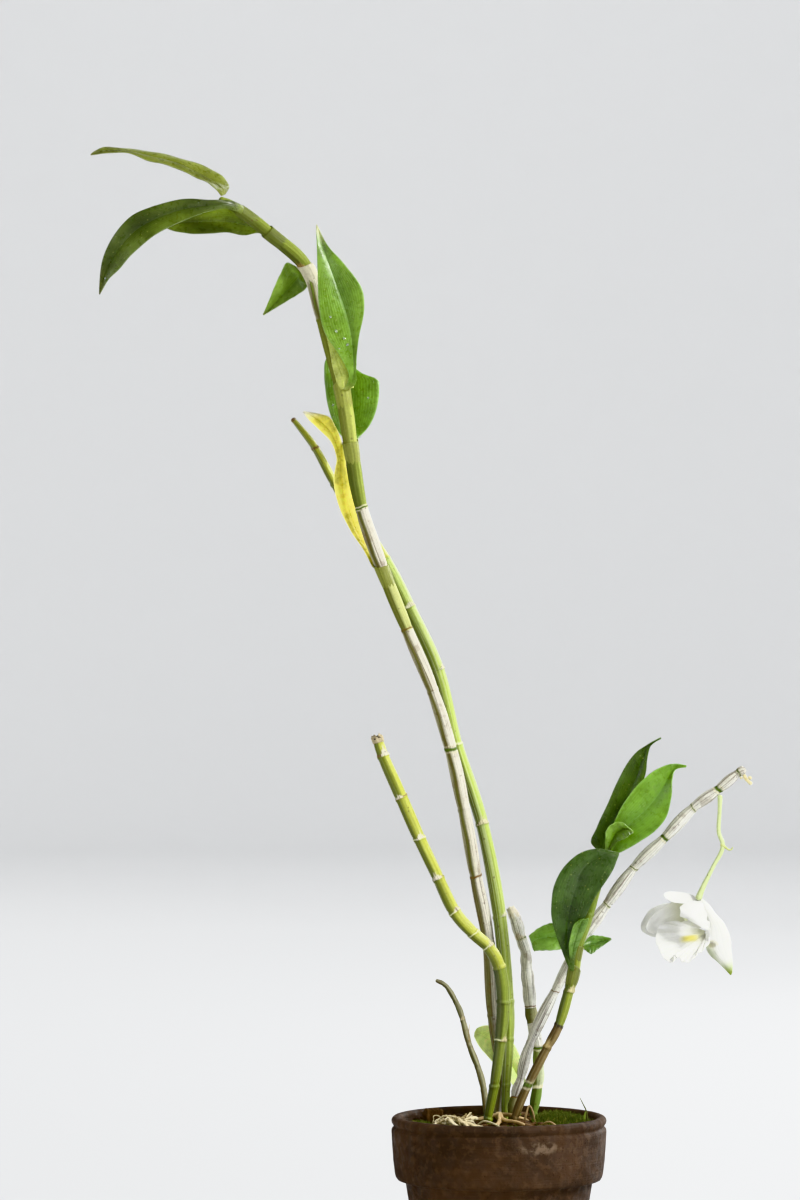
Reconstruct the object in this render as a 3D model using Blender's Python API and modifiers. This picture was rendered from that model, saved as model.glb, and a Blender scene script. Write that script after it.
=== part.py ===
"""Potted dendrobium orchid: seven canes with their leaves and one flower, rooted in a clay pot.

Metres, +Z up, seen from the -Y side. The origin is the centre of the pot's flat underside.
Sizes below are in millimetres and become metres where a mesh or a curve is made.
"""
import math
import random

import bmesh
import bpy
import numpy as np
from mathutils import Vector

# driving dimensions, in millimetres
MM = 0.001
GAP = 0.4
REST_GAP = 0.7

# the pot, from its bead down to its foot
POT_HEIGHT = 98.0
POT_RADIUS = 54.0
POT_BASE_RADIUS = 36.5
POT_WALL = 4.4
POT_FLOOR = 7.0
BEAD_HEIGHT = 4.8
BEAD_WIDTH = 5.0
BEAD_STEPS = 6
GROOVE_DEPTH = 1.2
GROOVE_DROP = 1.6
COLLAR_HEIGHT = 32.0
COLLAR_STEP = 5.0
COLLAR_TAPER = 2.5
COLLAR_DRAFT = 2.0
COLLAR_EDGE = 1.0
SHOULDER_DROP = 4.0
FOOT_CHAMFER = 1.0
FOOT_CHAMFER_HEIGHT = 1.5
DRAIN_RADIUS = 3.5
DRAIN_RING = 18.0
DRAIN_HOLES = 3
DRAIN_SIDES = 16
TURN_STEPS = 40

# the potting mix and the holes that the stems stand in
MIX_LEVEL = 93.0
MIX_RINGS = 11
MIX_HEAP = 1.5
FOOT_DEPTH = 12.0
HOLE_CLEARANCE = 0.9
HOLE_SIDES = 12
CUT_MARGIN = 20.0

# leaves, petals and canes
BLADE_THICKNESS = 0.8
PETAL_THICKNESS = 0.7
BLADE_STEPS = 12
BLADE_ACROSS = 4
SEAT_HALF_WIDTH = 1.4
TIP_HALF_WIDTH = 0.35
SPAN_STEPS = (0.0, 0.12, 0.5, 0.88)

# each cane: bulge between nodes, ridge at a node, then its nodes from the soil up as x, y, z, radius
CANES = {
    "tall_leafy_cane": (0.4, 0.25, (
        (0.5, 22, 97, 2.3), (2, 20, 117, 2.5), (-2.5, 18, 147, 2.9), (-5, 13, 184, 3.0),
        (-11.5, 6, 218, 2.9), (-17.5, 2, 251.5, 3.0), (-24.5, 0, 282, 3.0), (-35, -2, 311.5, 2.7),
        (-47.5, -4, 342, 2.8), (-60, -5, 373, 3.0), (-69, -6, 403, 3.1), (-74.5, -6, 435, 3.4),
        (-79, -4, 463.5, 3.6), (-88.5, 0, 498.5, 3.4), (-96.5, 3, 524, 3.2), (-115.5, 3, 541.5, 3.0),
        (-129, 2, 552, 2.5), (-139.5, 0, 558, 1.5))),
    "tall_green_cane": (0.1, 0.3, (
        (3.5, 15, 97, 2.0), (4, 14.5, 112, 2.1), (5, 13, 135, 2.8), (4.5, 12, 155, 3.3),
        (0.5, 10, 197.5, 3.4), (-8, 9, 244, 3.2), (-20, 8, 284.5, 3.2), (-30.5, 7, 321.5, 3.3),
        (-43.5, 7, 353, 3.4), (-56, 8, 377.5, 3.0), (-70, 9, 396.5, 2.5), (-83.5, 9, 415.5, 2.0),
        (-94, 9, 433.5, 1.8), (-104.5, 9, 447, 1.0))),
    "short_green_cane": (0.1, 0.35, (
        (-5.5, -3, 97, 2.0), (-2.5, -6, 113.5, 2.4), (0.5, -9, 136.5, 2.8), (2, -11, 156, 3.2),
        (0, -12, 173, 3.2), (-5.5, -13, 183.5, 3.0), (-13, -14, 190.5, 3.0), (-22.5, -16, 201.5, 3.0),
        (-30.5, -17, 218, 2.9), (-40, -18, 238, 3.0), (-49, -18, 258.5, 3.0), (-58, -18, 279, 2.9),
        (-61, -18, 288, 2.3))),
    "thin_dry_cane": (0.2, 0.15, (
        (-6, 8, 97, 1.4), (-7.5, 8, 110, 1.5), (-10.5, 9, 121.5, 1.5), (-14.5, 11, 132, 1.4),
        (-18, 13, 145, 1.3), (-21.5, 14, 154, 1.2), (-26.5, 15, 162, 1.0), (-31, 16, 164.5, 0.8))),
    "short_dry_cane": (0.5, 0.2, (
        (18, 24, 97, 1.8), (20, 24, 110, 2.4), (20.5, 25, 120, 2.6), (20.5, 26, 129.5, 2.6),
        (17.5, 27, 142.5, 2.6), (16.5, 26, 150.5, 2.7), (15.5, 25, 161.5, 3.0), (14.5, 24, 170.5, 2.6),
        (14, 23, 178.5, 2.4), (11.5, 22, 186, 2.5), (9, 21, 195, 2.8), (6.5, 20, 200.5, 1.5))),
    "flowering_cane": (1.1, 0.15, (
        (6.5, 8, 97, 1.6), (8, 8, 106.5, 1.7), (11, 9, 115.5, 1.8), (16, 10, 133.5, 2.1),
        (28.5, 11, 159.5, 2.1), (43, 10, 186.5, 2.1), (54.5, 8, 203.5, 2.1), (68, 6, 222, 2.1),
        (83, 3, 237, 2.1), (97.5, 0, 252.5, 2.1), (110, -3, 262, 2.0), (119.5, -5, 270, 1.7),
        (123, -6, 272, 1.3))),
    "leafy_shoot": (0.3, 0.3, (
        (8, -2, 97, 1.8), (14.5, -2, 113.5, 2.0), (24, -2, 132, 2.1), (30, -2, 143.5, 2.2),
        (35, -2, 160.5, 2.5), (37.5, -2, 170, 2.7), (39.5, -2, 183, 2.5), (45, -2, 199, 2.4),
        (49, -1, 215, 2.2), (53.5, 1, 230, 2.0))),
}

# each leaf: the cane and node that carry it, the way it leaves the cane, the way its face looks at the
# base and at the tip, its fold in degrees, its edge wave, then its midrib as x, y, z, half width
LEAVES = {
    "top_narrow_leaf": ("tall_leafy_cane", 17, (0.4, 0, 1), (0, -0.4, 1), (0, -0.4, 1), 18, 0.3, (
        (-142, 0, 565, 2.5), (-147, 0, 569, 4.5), (-155, 0, 573, 6.5), (-168, -1, 578, 6.5),
        (-180, -1, 580, 6), (-193, -2, 582, 5), (-203, -2, 583, 3), (-208, -2, 580, 0.5))),
    "top_drooping_leaf": ("tall_leafy_cane", 16, (-0.2, -1, 0), (0, -1, 0.1), (-0.5, -1, 0.4), 14, 0.3, (
        (-138, -9, 555, 2.2), (-150, -12, 554.5, 3.4), (-162, -14, 551.5, 6), (-173, -15, 548, 7.3),
        (-182, -16, 542.5, 7.5), (-192, -16, 533.5, 6.2), (-198, -15, 525, 4.2), (-203, -13, 510, 0.5))),
    "top_under_leaf": ("tall_leafy_cane", 15, (-0.2, 1, 0.1), (0.3, -1, 0.1), (0, -0.7, 0.7), 10, 0.8, (
        (-126, 12, 545, 4.5), (-135, 13, 548, 7), (-145, 13, 548.5, 8), (-155, 13, 548.5, 7),
        (-170, 11, 547, 0.5))),
    "small_pointed_leaf": (
        "tall_leafy_cane", 14, (-1, 0.6, -0.3), (-0.3, -1, 0.3), (-0.3, -1, 0.3), 12, 0.2, (
        (-103.5, 7, 518.5, 7.2), (-108, 7, 513.5, 5), (-113, 7, 506.5, 2.7), (-119, 7, 500, 0.4))),
    "bright_folded_leaf": ("tall_leafy_cane", 12, (0.3, -1, 0.1), (0.2, -1, 0), (0.2, -1, 0.1), 24, 0.3, (
        (-75, -10, 472, 3.5), (-77, -12, 479, 5.5), (-78.5, -14, 487, 7.5), (-79, -15, 496, 10.5),
        (-79.5, -16, 506, 12), (-81.5, -16, 519, 10), (-86.5, -15, 532, 5), (-92, -13, 546, 0.5))),
    "broad_back_leaf": ("tall_leafy_cane", 11, (0.1, 1, 0.2), (0.1, -1, 0), (0.1, -1, 0), 14, 0.4, (
        (-74, 3.5, 441, 5), (-74, 5, 447, 10), (-74, 5, 457, 13), (-74.5, 6, 465, 13.5),
        (-78, 7, 473, 9), (-83, 8, 481, 1))),
    "yellow_leaf": ("tall_leafy_cane", 9, (-1, 1, 0), (1, -1, 0.2), (-0.3, -1, 0.3), 16, 0.5, (
        (-66.5, 1.8, 379, 1.6), (-70, 2, 387, 2.3), (-75, 1, 398, 3.5), (-78, 1, 410, 4.2),
        (-80, 0, 422, 3.4), (-80, 0, 431, 4), (-84, 1, 441, 5.2), (-91, 2, 447.5, 3.2),
        (-99, 3, 452, 0.4))),
    "shoot_front_leaf": ("leafy_shoot", 5, (-0.3, -1, 0.3), (-0.3, -1, 0), (-0.2, -1, 0.5), 14, 0.5, (
        (33, -9, 188, 4.5), (35, -12, 200, 8.8), (37.7, -14, 209, 11), (41, -15, 218, 11.5),
        (46, -14, 225, 9), (53, -12, 230, 5), (60, -10, 231, 0.5))),
    "shoot_upright_leaf": ("leafy_shoot", 9, (-0.5, 0.8, 0), (0.6, -1, 0), (-0.4, -1, 0.2), 16, 0.3, (
        (54, 6, 244, 4.5), (59, 8, 256, 6), (65.5, 9, 268, 7), (70, 9, 277, 5), (75, 8, 283, 2.2),
        (81, 7, 289, 0.4))),
    "shoot_right_leaf": ("leafy_shoot", 9, (1, -0.3, -0.2), (0.3, -1, 0.2), (0.3, -1, 0.3), 15, 0.3, (
        (60, 0, 236, 4.5), (65, -2, 242, 8.5), (72, -3, 250, 10.5), (78, -3, 258, 9), (84, -2, 267, 5.5),
        (89, -1, 273, 2.5), (94, 0, 275, 0.4))),
    "shoot_young_leaf": ("leafy_shoot", 9, (0.2, -1, 0.1), (0.2, -0.8, 0.5), (0.2, -0.8, 0.6), 20, 0.2, (
        (56, -5, 235, 1.6), (58.5, -8, 239, 2.8), (62, -9.5, 241.5, 2.5), (67, -10, 241, 0.5))),
    "shoot_lower_left_leaf": ("leafy_shoot", 6, (-0.6, 1, 0.1), (0, -0.7, 0.7), (0, -0.7, 0.7), 12, 0.3, (
        (36, 3, 183.5, 3.5), (30, 5, 186, 6.5), (23, 6, 187, 7), (17, 6, 186, 5), (15, 6, 185.5, 3))),
    "shoot_lower_right_leaf": ("leafy_shoot", 6, (1, 0.6, 0), (0, -0.6, 0.8), (0, -0.6, 0.8), 12, 0.2, (
        (46, 1.5, 183.5, 4.5), (51, 2.5, 185, 3), (56, 3, 187, 0.4))),
}

# the pale young leaf that comes straight out of the soil, on its own folded foot
BASAL_LEAF = (
    (10, 29, 85, 1.6), (10, 29, 97, 1.8), (10, 29, 106, 2.6), (10, 28, 113, 3.5), (7, 27, 122, 5),
    (2, 26, 130, 7), (-4, 25, 135.5, 7.3), (-10, 24, 137, 5.3),
    (-13.2, 24, 138, 2))

# the flower, hung from the flowering cane
STALK_NODE = 10
STALK_LEAVES = (0.3, -0.5, -1)
STALK_RADIUS = 1.2
STALK_DROP = 1.1
STALK = (
    (110.5, -5, 251, 1.0), (110, -5.5, 241, 1.0), (112, -6, 233, 1.1), (107, -6.5, 223, 1.0),
    (102, -7, 213, 1.3), (100, -7, 208, 1.7))
SPUR = (
    (100.8, -7, 206.6, 1.0), (103, -7, 201, 3.2), (107, -7, 192, 4.8), (111, -7, 182, 4.6),
    (114, -7, 175, 3.0), (115.7, -7, 169.3, 0.8))
COLUMN = ((98.4, -7, 204, 1.0), (96, -7, 201, 1.5), (93.5, -7.5, 197.5, 1.4))
OLD_STUB = ((122.8, -6.5, 268.9, 0.8), (123.5, -7, 267.5, 0.8), (126, -7, 265, 0.7))

# each petal: the way its face looks at the base and at the tip, its fold, its wave, then its midrib
PETALS = {
    "dorsal_sepal": ((0, -0.4, 1), (0, -0.4, 1), 12, 0.3, (
        (97.9, -7, 207.5, 2.0), (92, -7.5, 207.6, 5.5), (87, -8, 207.6, 5.5), (82.5, -8, 207, 1))),
    "near_petal": ((-0.2, -1, 0.2), (0.2, -1, -0.2), 8, 0.8, (
        (99.5, -9.6, 206.2, 1.6), (98, -14, 202, 7), (97.5, -16.5, 198, 8.5), (99.5, -17, 194, 6),
        (103, -16, 191, 1.2))),
    "far_petal": ((-0.2, -1, 0.2), (-0.3, -1, 0.2), 10, 0.6, (
        (98.8, -4.6, 206, 1.6), (90, -1, 202.5, 4.5), (82, 1, 197.5, 6), (76.5, 1, 193, 5.5),
        (74.5, 0, 188.5, 2.3))),
    "far_sepal": ((0.2, -1, 0.2), (0, -1, 0), 8, 0.4, (
        (104, -1.7, 196, 2), (96, 3, 195, 6), (88, 5, 192, 6.5), (80, 5.5, 189, 5), (75, 5, 187, 1))),
    "lip": ((-0.1, -1, 0.6), (-0.3, -1, 0.3), -14, 1.2, (
        (103.2, -9, 188, 2), (98, -11, 187.5, 5.5), (91, -12.5, 187, 9), (84, -12.5, 187, 10),
        (79, -11.5, 186.5, 8))),
}

# what lies on the potting mix
MOSS_CENTRE = (31, 0)
MOSS_RADII = (14, 17)
MOSS_HEIGHT = 4.5
MOSS_RELIEF = 0.7
REST_FLAT = 0.2
BARK_CENTRE = (-33, 14)
BARK_HALF_SIZE = (5, 3)
BARK_HEIGHT = 6.5
BARK_RELIEF = 0.5
BARK_TURN = math.radians(25)
ROOT_RADIUS = 1.1
ROOT_TAPER = 0.35
ROOT_KNOT_RADIUS = 1.76
ROOT_LIFT = 1.0
ROOT_KNOT = (-21, -18)
ROOT_COUNT = 8
ROOT_SEED = 5
ROOT_STEPS = 6
ROOT_REACH = 13
ROOT_REACHES = (0.75, 1.0)
ROOT_BENDS = (0.4, 0.9)
ROOT_LIFTS = (0.5, 3.0)
RHIZOME_KNOT = (0, 2.5)
RHIZOME_ROOTS = (
    ((-10, 2.2), (-19, 6)), ((1, -9), (-2, -17)), ((9, 3), (14.5, 5)), ((2, -10), (12, -17)))
RHIZOME_LIFT = 0.6
CHIP_COUNT = 12
CHIP_SEED = 11
CHIP_HALF_SIZE = (5.0, 3.2, 2.4)
CHIP_SINK = 0.6
CHIP_REACHES = (17, 41)
CHIP_SCALES = (0.8, 1.2)
CHIP_TILT = 0.3
CLEAR_OF_ROOTS = 8
CLEAR_OF_BARK = 14
CLEAR_OF_MOSS = 7
CLEAR_OF_FEET = 9


def mix_height(x, y):
    """Height of the potting mix in mm: a level fill, heaped at the canes, with low lumps."""
    lumps = 0.7 * math.sin(0.23 * x + 1.1) * math.cos(0.21 * y - 0.6)
    lumps += 0.4 * math.sin(0.31 * x - 0.27 * y + 2.0)
    heap = MIX_HEAP * math.exp(-((x - 5) ** 2 + (y - 9) ** 2) / 700)
    return MIX_LEVEL + lumps + heap


def material(name, colour, roughness):
    """A Principled material with one colour and roughness."""
    mat = bpy.data.materials.new(name)
    mat.use_nodes = True
    shader = mat.node_tree.nodes["Principled BSDF"]
    shader.inputs["Base Color"].default_value = (*colour, 1.0)
    shader.inputs["Roughness"].default_value = roughness
    shader.inputs["Metallic"].default_value = 0.0
    return mat


def add_mesh(name, bm, mat, collection):
    """One object from a bmesh that is in millimetres."""
    bmesh.ops.scale(bm, vec=Vector((MM, MM, MM)), verts=bm.verts)
    mesh = bpy.data.meshes.new(name)
    bm.to_mesh(mesh)
    bm.free()
    mesh.materials.append(mat)
    mesh.shade_smooth()
    obj = bpy.data.objects.new(name, mesh)
    collection.objects.link(obj)
    return obj


def smooth_row(rows, place):
    """The row at a place along a Catmull-Rom curve through the rows; whole numbers fall on them."""
    last = len(rows) - 1
    k = min(int(place), last - 1)
    t = place - k
    before = rows[max(k - 1, 0)]
    here = rows[k]
    after = rows[k + 1]
    beyond = rows[min(k + 2, last)]
    straight = 2 * here + (after - before) * t
    bend = (2 * before - 5 * here + 4 * after - beyond) * t ** 2
    twist = (3 * here - before - 3 * after + beyond) * t ** 3
    return (straight + bend + twist) / 2


def tube(name, rows, mat, collection):
    """A round stem through rows of x, y, z, radius: a POLY curve with filled caps."""
    curve = bpy.data.curves.new(name, "CURVE")
    curve.dimensions = "3D"
    curve.bevel_depth = MM
    curve.bevel_resolution = 2
    curve.use_fill_caps = True
    curve.materials.append(mat)
    spline = curve.splines.new("POLY")
    spline.points.add(len(rows) - 1)
    for point, row in zip(spline.points, rows):
        point.co = (row[0] * MM, row[1] * MM, row[2] * MM, 1.0)
        point.radius = row[3]
    spline.use_smooth = True
    obj = bpy.data.objects.new(name, curve)
    collection.objects.link(obj)
    return obj


def smooth_rows(rows, per_span):
    """Rows along the smooth curve, evenly spaced in each span."""
    rows = np.array(rows, float)
    count = per_span * (len(rows) - 1)
    return [smooth_row(rows, i / per_span) for i in range(count + 1)]


def cane_rows(bulge, ridge, nodes):
    """A cane from its foot in the soil to its tip: a ridge at each node and a swelling between."""
    foot = (nodes[0][0], nodes[0][1], nodes[0][2] - FOOT_DEPTH, nodes[0][3])
    rows = np.array((foot,) + nodes, float)
    out = []
    for k in range(len(rows) - 1):
        for t in SPAN_STEPS:
            row = smooth_row(rows, k + t)
            row[3] = rows[k][3] * (1 - t) + rows[k + 1][3] * t
            if k > 0:
                row[3] += bulge * math.sin(math.pi * t) + (ridge if t == 0 else 0)
            out.append(row)
    out.append(rows[-1])
    return out


def node_seat(cane, node, leaves):
    """The point just clear of a cane's skin at one of its nodes, on the side that a leaf leaves."""
    ridge, nodes = CANES[cane][1:]
    x, y, z, radius = nodes[node]
    if node == len(nodes) - 1:
        ridge = 0
    way = Vector(leaves).normalized()
    return Vector((x, y, z)) + way * (radius + ridge + GAP + BLADE_THICKNESS / 2)


def blade(name, rows, base_face, tip_face, fold, wave, thickness, mat, collection):
    """A leaf or petal: a grid laid along its midrib, folded and waved, then given a thickness.

    Each row is x, y, z and half width. The face turns evenly from base_face to tip_face, both margins
    rise by the fold angle, and a wave runs along them.
    """
    rows = np.array(rows, float)
    spans = len(rows) - 1
    widest = max(row[3] for row in rows)
    rise = math.radians(fold)
    bm = bmesh.new()
    bmesh.ops.create_grid(bm, x_segments=BLADE_STEPS, y_segments=BLADE_ACROSS, size=1)
    for vert in bm.verts:
        along = min(max((vert.co.x + 1) / 2, 0), 1)
        across = vert.co.y
        row = smooth_row(rows, along * spans)
        ahead = smooth_row(rows, min(along + 0.02, 1) * spans)
        behind = smooth_row(rows, max(along - 0.02, 0) * spans)
        run = Vector(ahead[:3] - behind[:3]).normalized()
        face = Vector(base_face).lerp(Vector(tip_face), along)
        face = (face - run * face.dot(run)).normalized()
        side = run.cross(face)
        half = max(row[3], TIP_HALF_WIDTH)
        lift = abs(across) * half * math.sin(rise)
        lift += wave * across * abs(across) * half / widest * math.sin(along * 9 + across)
        vert.co = Vector(row[:3]) + side * across * half * math.cos(rise) + face * lift
    bmesh.ops.triangulate(bm, faces=bm.faces)
    obj = add_mesh(name, bm, mat, collection)
    solid = obj.modifiers.new("thickness", "SOLIDIFY")
    solid.thickness = thickness * MM
    solid.offset = 0
    return obj


def turned(name, profile, mat, collection):
    """A solid turned from a profile of radius and height in mm, with a Screw modifier."""
    bm = bmesh.new()
    verts = [bm.verts.new((radius, 0, height)) for radius, height in profile]
    for first, second in zip(verts, verts[1:]):
        bm.edges.new((first, second))
    obj = add_mesh(name, bm, mat, collection)
    screw = obj.modifiers.new("turn", "SCREW")
    screw.steps = TURN_STEPS
    screw.render_steps = TURN_STEPS
    screw.use_merge_vertices = True
    screw.merge_threshold = 0.00005
    return obj


def apply_modifiers(obj):
    """Replaces an object's data by its evaluated mesh, with a curve's caps welded on."""
    graph = bpy.context.evaluated_depsgraph_get()
    mesh = bpy.data.meshes.new_from_object(obj.evaluated_get(graph))
    bm = bmesh.new()
    bm.from_mesh(mesh)
    bmesh.ops.remove_doubles(bm, verts=bm.verts, dist=0.00001)
    bm.to_mesh(mesh)
    bm.free()
    name = obj.name
    home = obj.users_collection[0]
    bpy.data.objects.remove(obj)
    solid = bpy.data.objects.new(name, mesh)
    home.objects.link(solid)
    return solid


def cut_or_join(obj, tools, operation):
    """Applies one Boolean with every object of a collection, then removes those objects."""
    step = obj.modifiers.new(operation.lower(), "BOOLEAN")
    step.operation = operation
    step.operand_type = "COLLECTION"
    step.collection = tools
    step.solver = "EXACT"
    solid = apply_modifiers(obj)
    for tool in list(tools.objects):
        bpy.data.objects.remove(tool)
    return solid


def post(name, x, y, radius, low, high, sides, collection):
    """An upright cylinder, used as a cutter."""
    bm = bmesh.new()
    bmesh.ops.create_cone(bm, cap_ends=True, segments=sides, radius1=radius, radius2=radius, depth=high - low)
    bmesh.ops.translate(bm, verts=bm.verts, vec=Vector((x, y, (low + high) / 2)))
    mesh = bpy.data.meshes.new(name)
    bmesh.ops.scale(bm, vec=Vector((MM, MM, MM)), verts=bm.verts)
    bm.to_mesh(mesh)
    bm.free()
    obj = bpy.data.objects.new(name, mesh)
    collection.objects.link(obj)
    return obj


def wall_radius(height, inset):
    """Radius of the pot's inner wall at a height, less an inset."""
    collar_foot = POT_HEIGHT - COLLAR_HEIGHT
    if height >= collar_foot:
        share = (height - collar_foot) / COLLAR_HEIGHT
        return POT_RADIUS - COLLAR_STEP - COLLAR_TAPER * (1 - share) - inset
    share = (height - POT_FLOOR) / (collar_foot - POT_FLOOR)
    low = POT_BASE_RADIUS - POT_WALL
    high = POT_RADIUS - COLLAR_STEP - COLLAR_DRAFT - POT_WALL
    return low + (high - low) * share - inset


def make_pot(mat, collection, cutters):
    """The clay pot: tapered body, tall collar with a bead on top, and three drain holes."""
    collar_foot = POT_HEIGHT - COLLAR_HEIGHT
    bead_radius = POT_RADIUS - BEAD_WIDTH / 2
    bead_level = POT_HEIGHT - BEAD_HEIGHT / 2
    profile = [(0, POT_FLOOR), (wall_radius(POT_FLOOR, 0), POT_FLOOR)]
    shoulder = collar_foot - SHOULDER_DROP
    profile += [(wall_radius(shoulder, 0), shoulder), (wall_radius(collar_foot, 0), collar_foot)]
    for step in range(BEAD_STEPS + 1):
        angle = math.pi * (1 - step / BEAD_STEPS)
        reach = BEAD_WIDTH / 2 * math.cos(angle)
        profile.append((bead_radius + reach, bead_level + BEAD_HEIGHT / 2 * math.sin(angle)))
    groove = POT_HEIGHT - BEAD_HEIGHT
    profile += [(POT_RADIUS - GROOVE_DEPTH, groove), (POT_RADIUS, groove - GROOVE_DROP)]
    profile += [(POT_RADIUS - COLLAR_DRAFT, collar_foot + COLLAR_EDGE)]
    profile += [(POT_RADIUS - COLLAR_DRAFT - COLLAR_EDGE, collar_foot)]
    profile += [(POT_RADIUS - COLLAR_STEP - COLLAR_DRAFT, collar_foot - COLLAR_EDGE)]
    profile += [(POT_BASE_RADIUS, FOOT_CHAMFER_HEIGHT), (POT_BASE_RADIUS - FOOT_CHAMFER, 0), (0, 0)]
    pot = turned("pot", profile, mat, collection)
    for hole in range(DRAIN_HOLES):
        angle = 2 * math.pi * (hole + 0.25) / DRAIN_HOLES
        x = DRAIN_RING * math.cos(angle)
        y = DRAIN_RING * math.sin(angle)
        post("drain_cutter", x, y, DRAIN_RADIUS, -CUT_MARGIN, POT_FLOOR + CUT_MARGIN, DRAIN_SIDES, cutters)
    return cut_or_join(pot, cutters, "DIFFERENCE")


def far_from_all(x, y, places, reach):
    """True where a point is farther than reach from every place."""
    return all(math.hypot(x - px, y - py) > reach for px, py in places)


def make_mix(mat, collection, cutters):
    """The potting mix: it fills the pot, with bark chips on top and a plain hole for each stem."""
    collar_foot = POT_HEIGHT - COLLAR_HEIGHT
    rim = wall_radius(MIX_LEVEL, GAP)
    profile = [(rim * ring / MIX_RINGS, MIX_LEVEL) for ring in range(MIX_RINGS + 1)]
    shoulder = collar_foot - SHOULDER_DROP
    profile += [(wall_radius(collar_foot, GAP), collar_foot), (wall_radius(shoulder, GAP), shoulder)]
    profile += [(wall_radius(POT_FLOOR, GAP), POT_FLOOR + GAP), (0, POT_FLOOR + GAP)]
    mix = apply_modifiers(turned("potting_mix", profile, mat, collection))
    for vert in mix.data.vertices:
        if vert.co.z > (MIX_LEVEL - 1) * MM:
            vert.co.z = mix_height(vert.co.x / MM, vert.co.y / MM) * MM
    feet = {nodes[0][:2]: nodes[0][3] for bulge, ridge, nodes in CANES.values()}
    feet[BASAL_LEAF[0][:2]] = BASAL_LEAF[1][3]
    draw = random.Random(CHIP_SEED)
    placed = 0
    while placed < CHIP_COUNT:
        angle = draw.uniform(0, 2 * math.pi)
        reach = draw.uniform(*CHIP_REACHES)
        x = reach * math.cos(angle)
        y = reach * math.sin(angle)
        clear_of_tangle = far_from_all(x, y, [ROOT_KNOT], ROOT_REACH + CLEAR_OF_ROOTS)
        clear_of_bark = far_from_all(x, y, [BARK_CENTRE], CLEAR_OF_BARK)
        clear_of_moss = far_from_all(x, y, [MOSS_CENTRE], MOSS_RADII[1] + CLEAR_OF_MOSS)
        clear_of_rhizome = far_from_all(x, y, [path[1] for path in RHIZOME_ROOTS], CLEAR_OF_ROOTS)
        if not (clear_of_tangle and clear_of_bark and clear_of_moss and clear_of_rhizome):
            continue
        if not far_from_all(x, y, feet, CLEAR_OF_FEET):
            continue
        size = draw.uniform(*CHIP_SCALES)
        bm = bmesh.new()
        bmesh.ops.create_cube(bm, size=2)
        for vert in bm.verts:
            vert.co = Vector([c * half * size for c, half in zip(vert.co, CHIP_HALF_SIZE)])
        tilts = [draw.uniform(-CHIP_TILT, CHIP_TILT) for axis in range(2)]
        chip = add_mesh("bark_chip", bm, mat, cutters)
        chip.rotation_euler = (*tilts, draw.uniform(0, math.pi))
        chip.location = Vector((x, y, mix_height(x, y) + CHIP_SINK)) * MM
        placed += 1
    bpy.context.view_layer.update()
    mix = cut_or_join(mix, cutters, "UNION")
    low = CANES["leafy_shoot"][2][0][2] - FOOT_DEPTH - GAP
    for (x, y), radius in feet.items():
        post("stem_hole", x, y, radius + HOLE_CLEARANCE, low, MIX_LEVEL + CUT_MARGIN, HOLE_SIDES, cutters)
    return cut_or_join(mix, cutters, "DIFFERENCE")


def rest_on_mix(bm, centre, half_size, turn, height, relief):
    """Lays a unit shape on the potting mix: its underside follows the soil, its top is domed."""
    for vert in bm.verts:
        flat_x = vert.co.x * half_size[0]
        flat_y = vert.co.y * half_size[1]
        x = centre[0] + flat_x * math.cos(turn) - flat_y * math.sin(turn)
        y = centre[1] + flat_x * math.sin(turn) + flat_y * math.cos(turn)
        rise = (max(vert.co.z, -REST_FLAT) + REST_FLAT) / (1 + REST_FLAT)
        lumps = relief * math.sin(0.9 * x) * math.cos(0.8 * y) * rise
        vert.co = Vector((x, y, mix_height(x, y) + REST_GAP + height * rise + lumps))


def make_moss(mat, collection):
    """A cushion of moss on the right of the surface."""
    bm = bmesh.new()
    bmesh.ops.create_uvsphere(bm, u_segments=20, v_segments=10, radius=1)
    rest_on_mix(bm, MOSS_CENTRE, MOSS_RADII, 0, MOSS_HEIGHT, MOSS_RELIEF)
    return add_mesh("moss", bm, mat, collection)


def make_bark(mat, collection):
    """One loose piece of bark that stands up at the left rim."""
    bm = bmesh.new()
    bmesh.ops.create_cube(bm, size=2)
    bmesh.ops.subdivide_edges(bm, edges=bm.edges, cuts=2, use_grid_fill=True)
    rest_on_mix(bm, BARK_CENTRE, BARK_HALF_SIZE, BARK_TURN, BARK_HEIGHT, BARK_RELIEF)
    return add_mesh("bark_piece", bm, mat, collection)


def root_on_mix(knot, middle, end, lift, mat, collection):
    """A root from a knot to its end that arches by lift above the potting mix."""
    rows = []
    for step in range(ROOT_STEPS + 1):
        t = step / ROOT_STEPS
        x = (1 - t) ** 2 * knot[0] + 2 * t * (1 - t) * middle[0] + t ** 2 * end[0]
        y = (1 - t) ** 2 * knot[1] + 2 * t * (1 - t) * middle[1] + t ** 2 * end[1]
        radius = ROOT_RADIUS * (1 - ROOT_TAPER * t)
        rise = ROOT_RADIUS + ROOT_LIFT * (1 - t) + REST_GAP + lift * math.sin(math.pi * t)
        rows.append((x, y, mix_height(x, y) + rise, radius))
    return apply_modifiers(tube("root", rows, mat, collection))


def fuse_roots(name, knot, routes, mat, collection, cutters):
    """Roots that all leave one knot, fused with it in one solid."""
    for middle, end, lift in routes:
        root_on_mix(knot, middle, end, lift, mat, cutters)
    bm = bmesh.new()
    bmesh.ops.create_uvsphere(bm, u_segments=10, v_segments=6, radius=ROOT_KNOT_RADIUS)
    level = mix_height(*knot) + ROOT_KNOT_RADIUS + REST_GAP
    bmesh.ops.translate(bm, verts=bm.verts, vec=Vector((knot[0], knot[1], level)))
    core = add_mesh(name, bm, mat, collection)
    return cut_or_join(core, cutters, "UNION")


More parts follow.
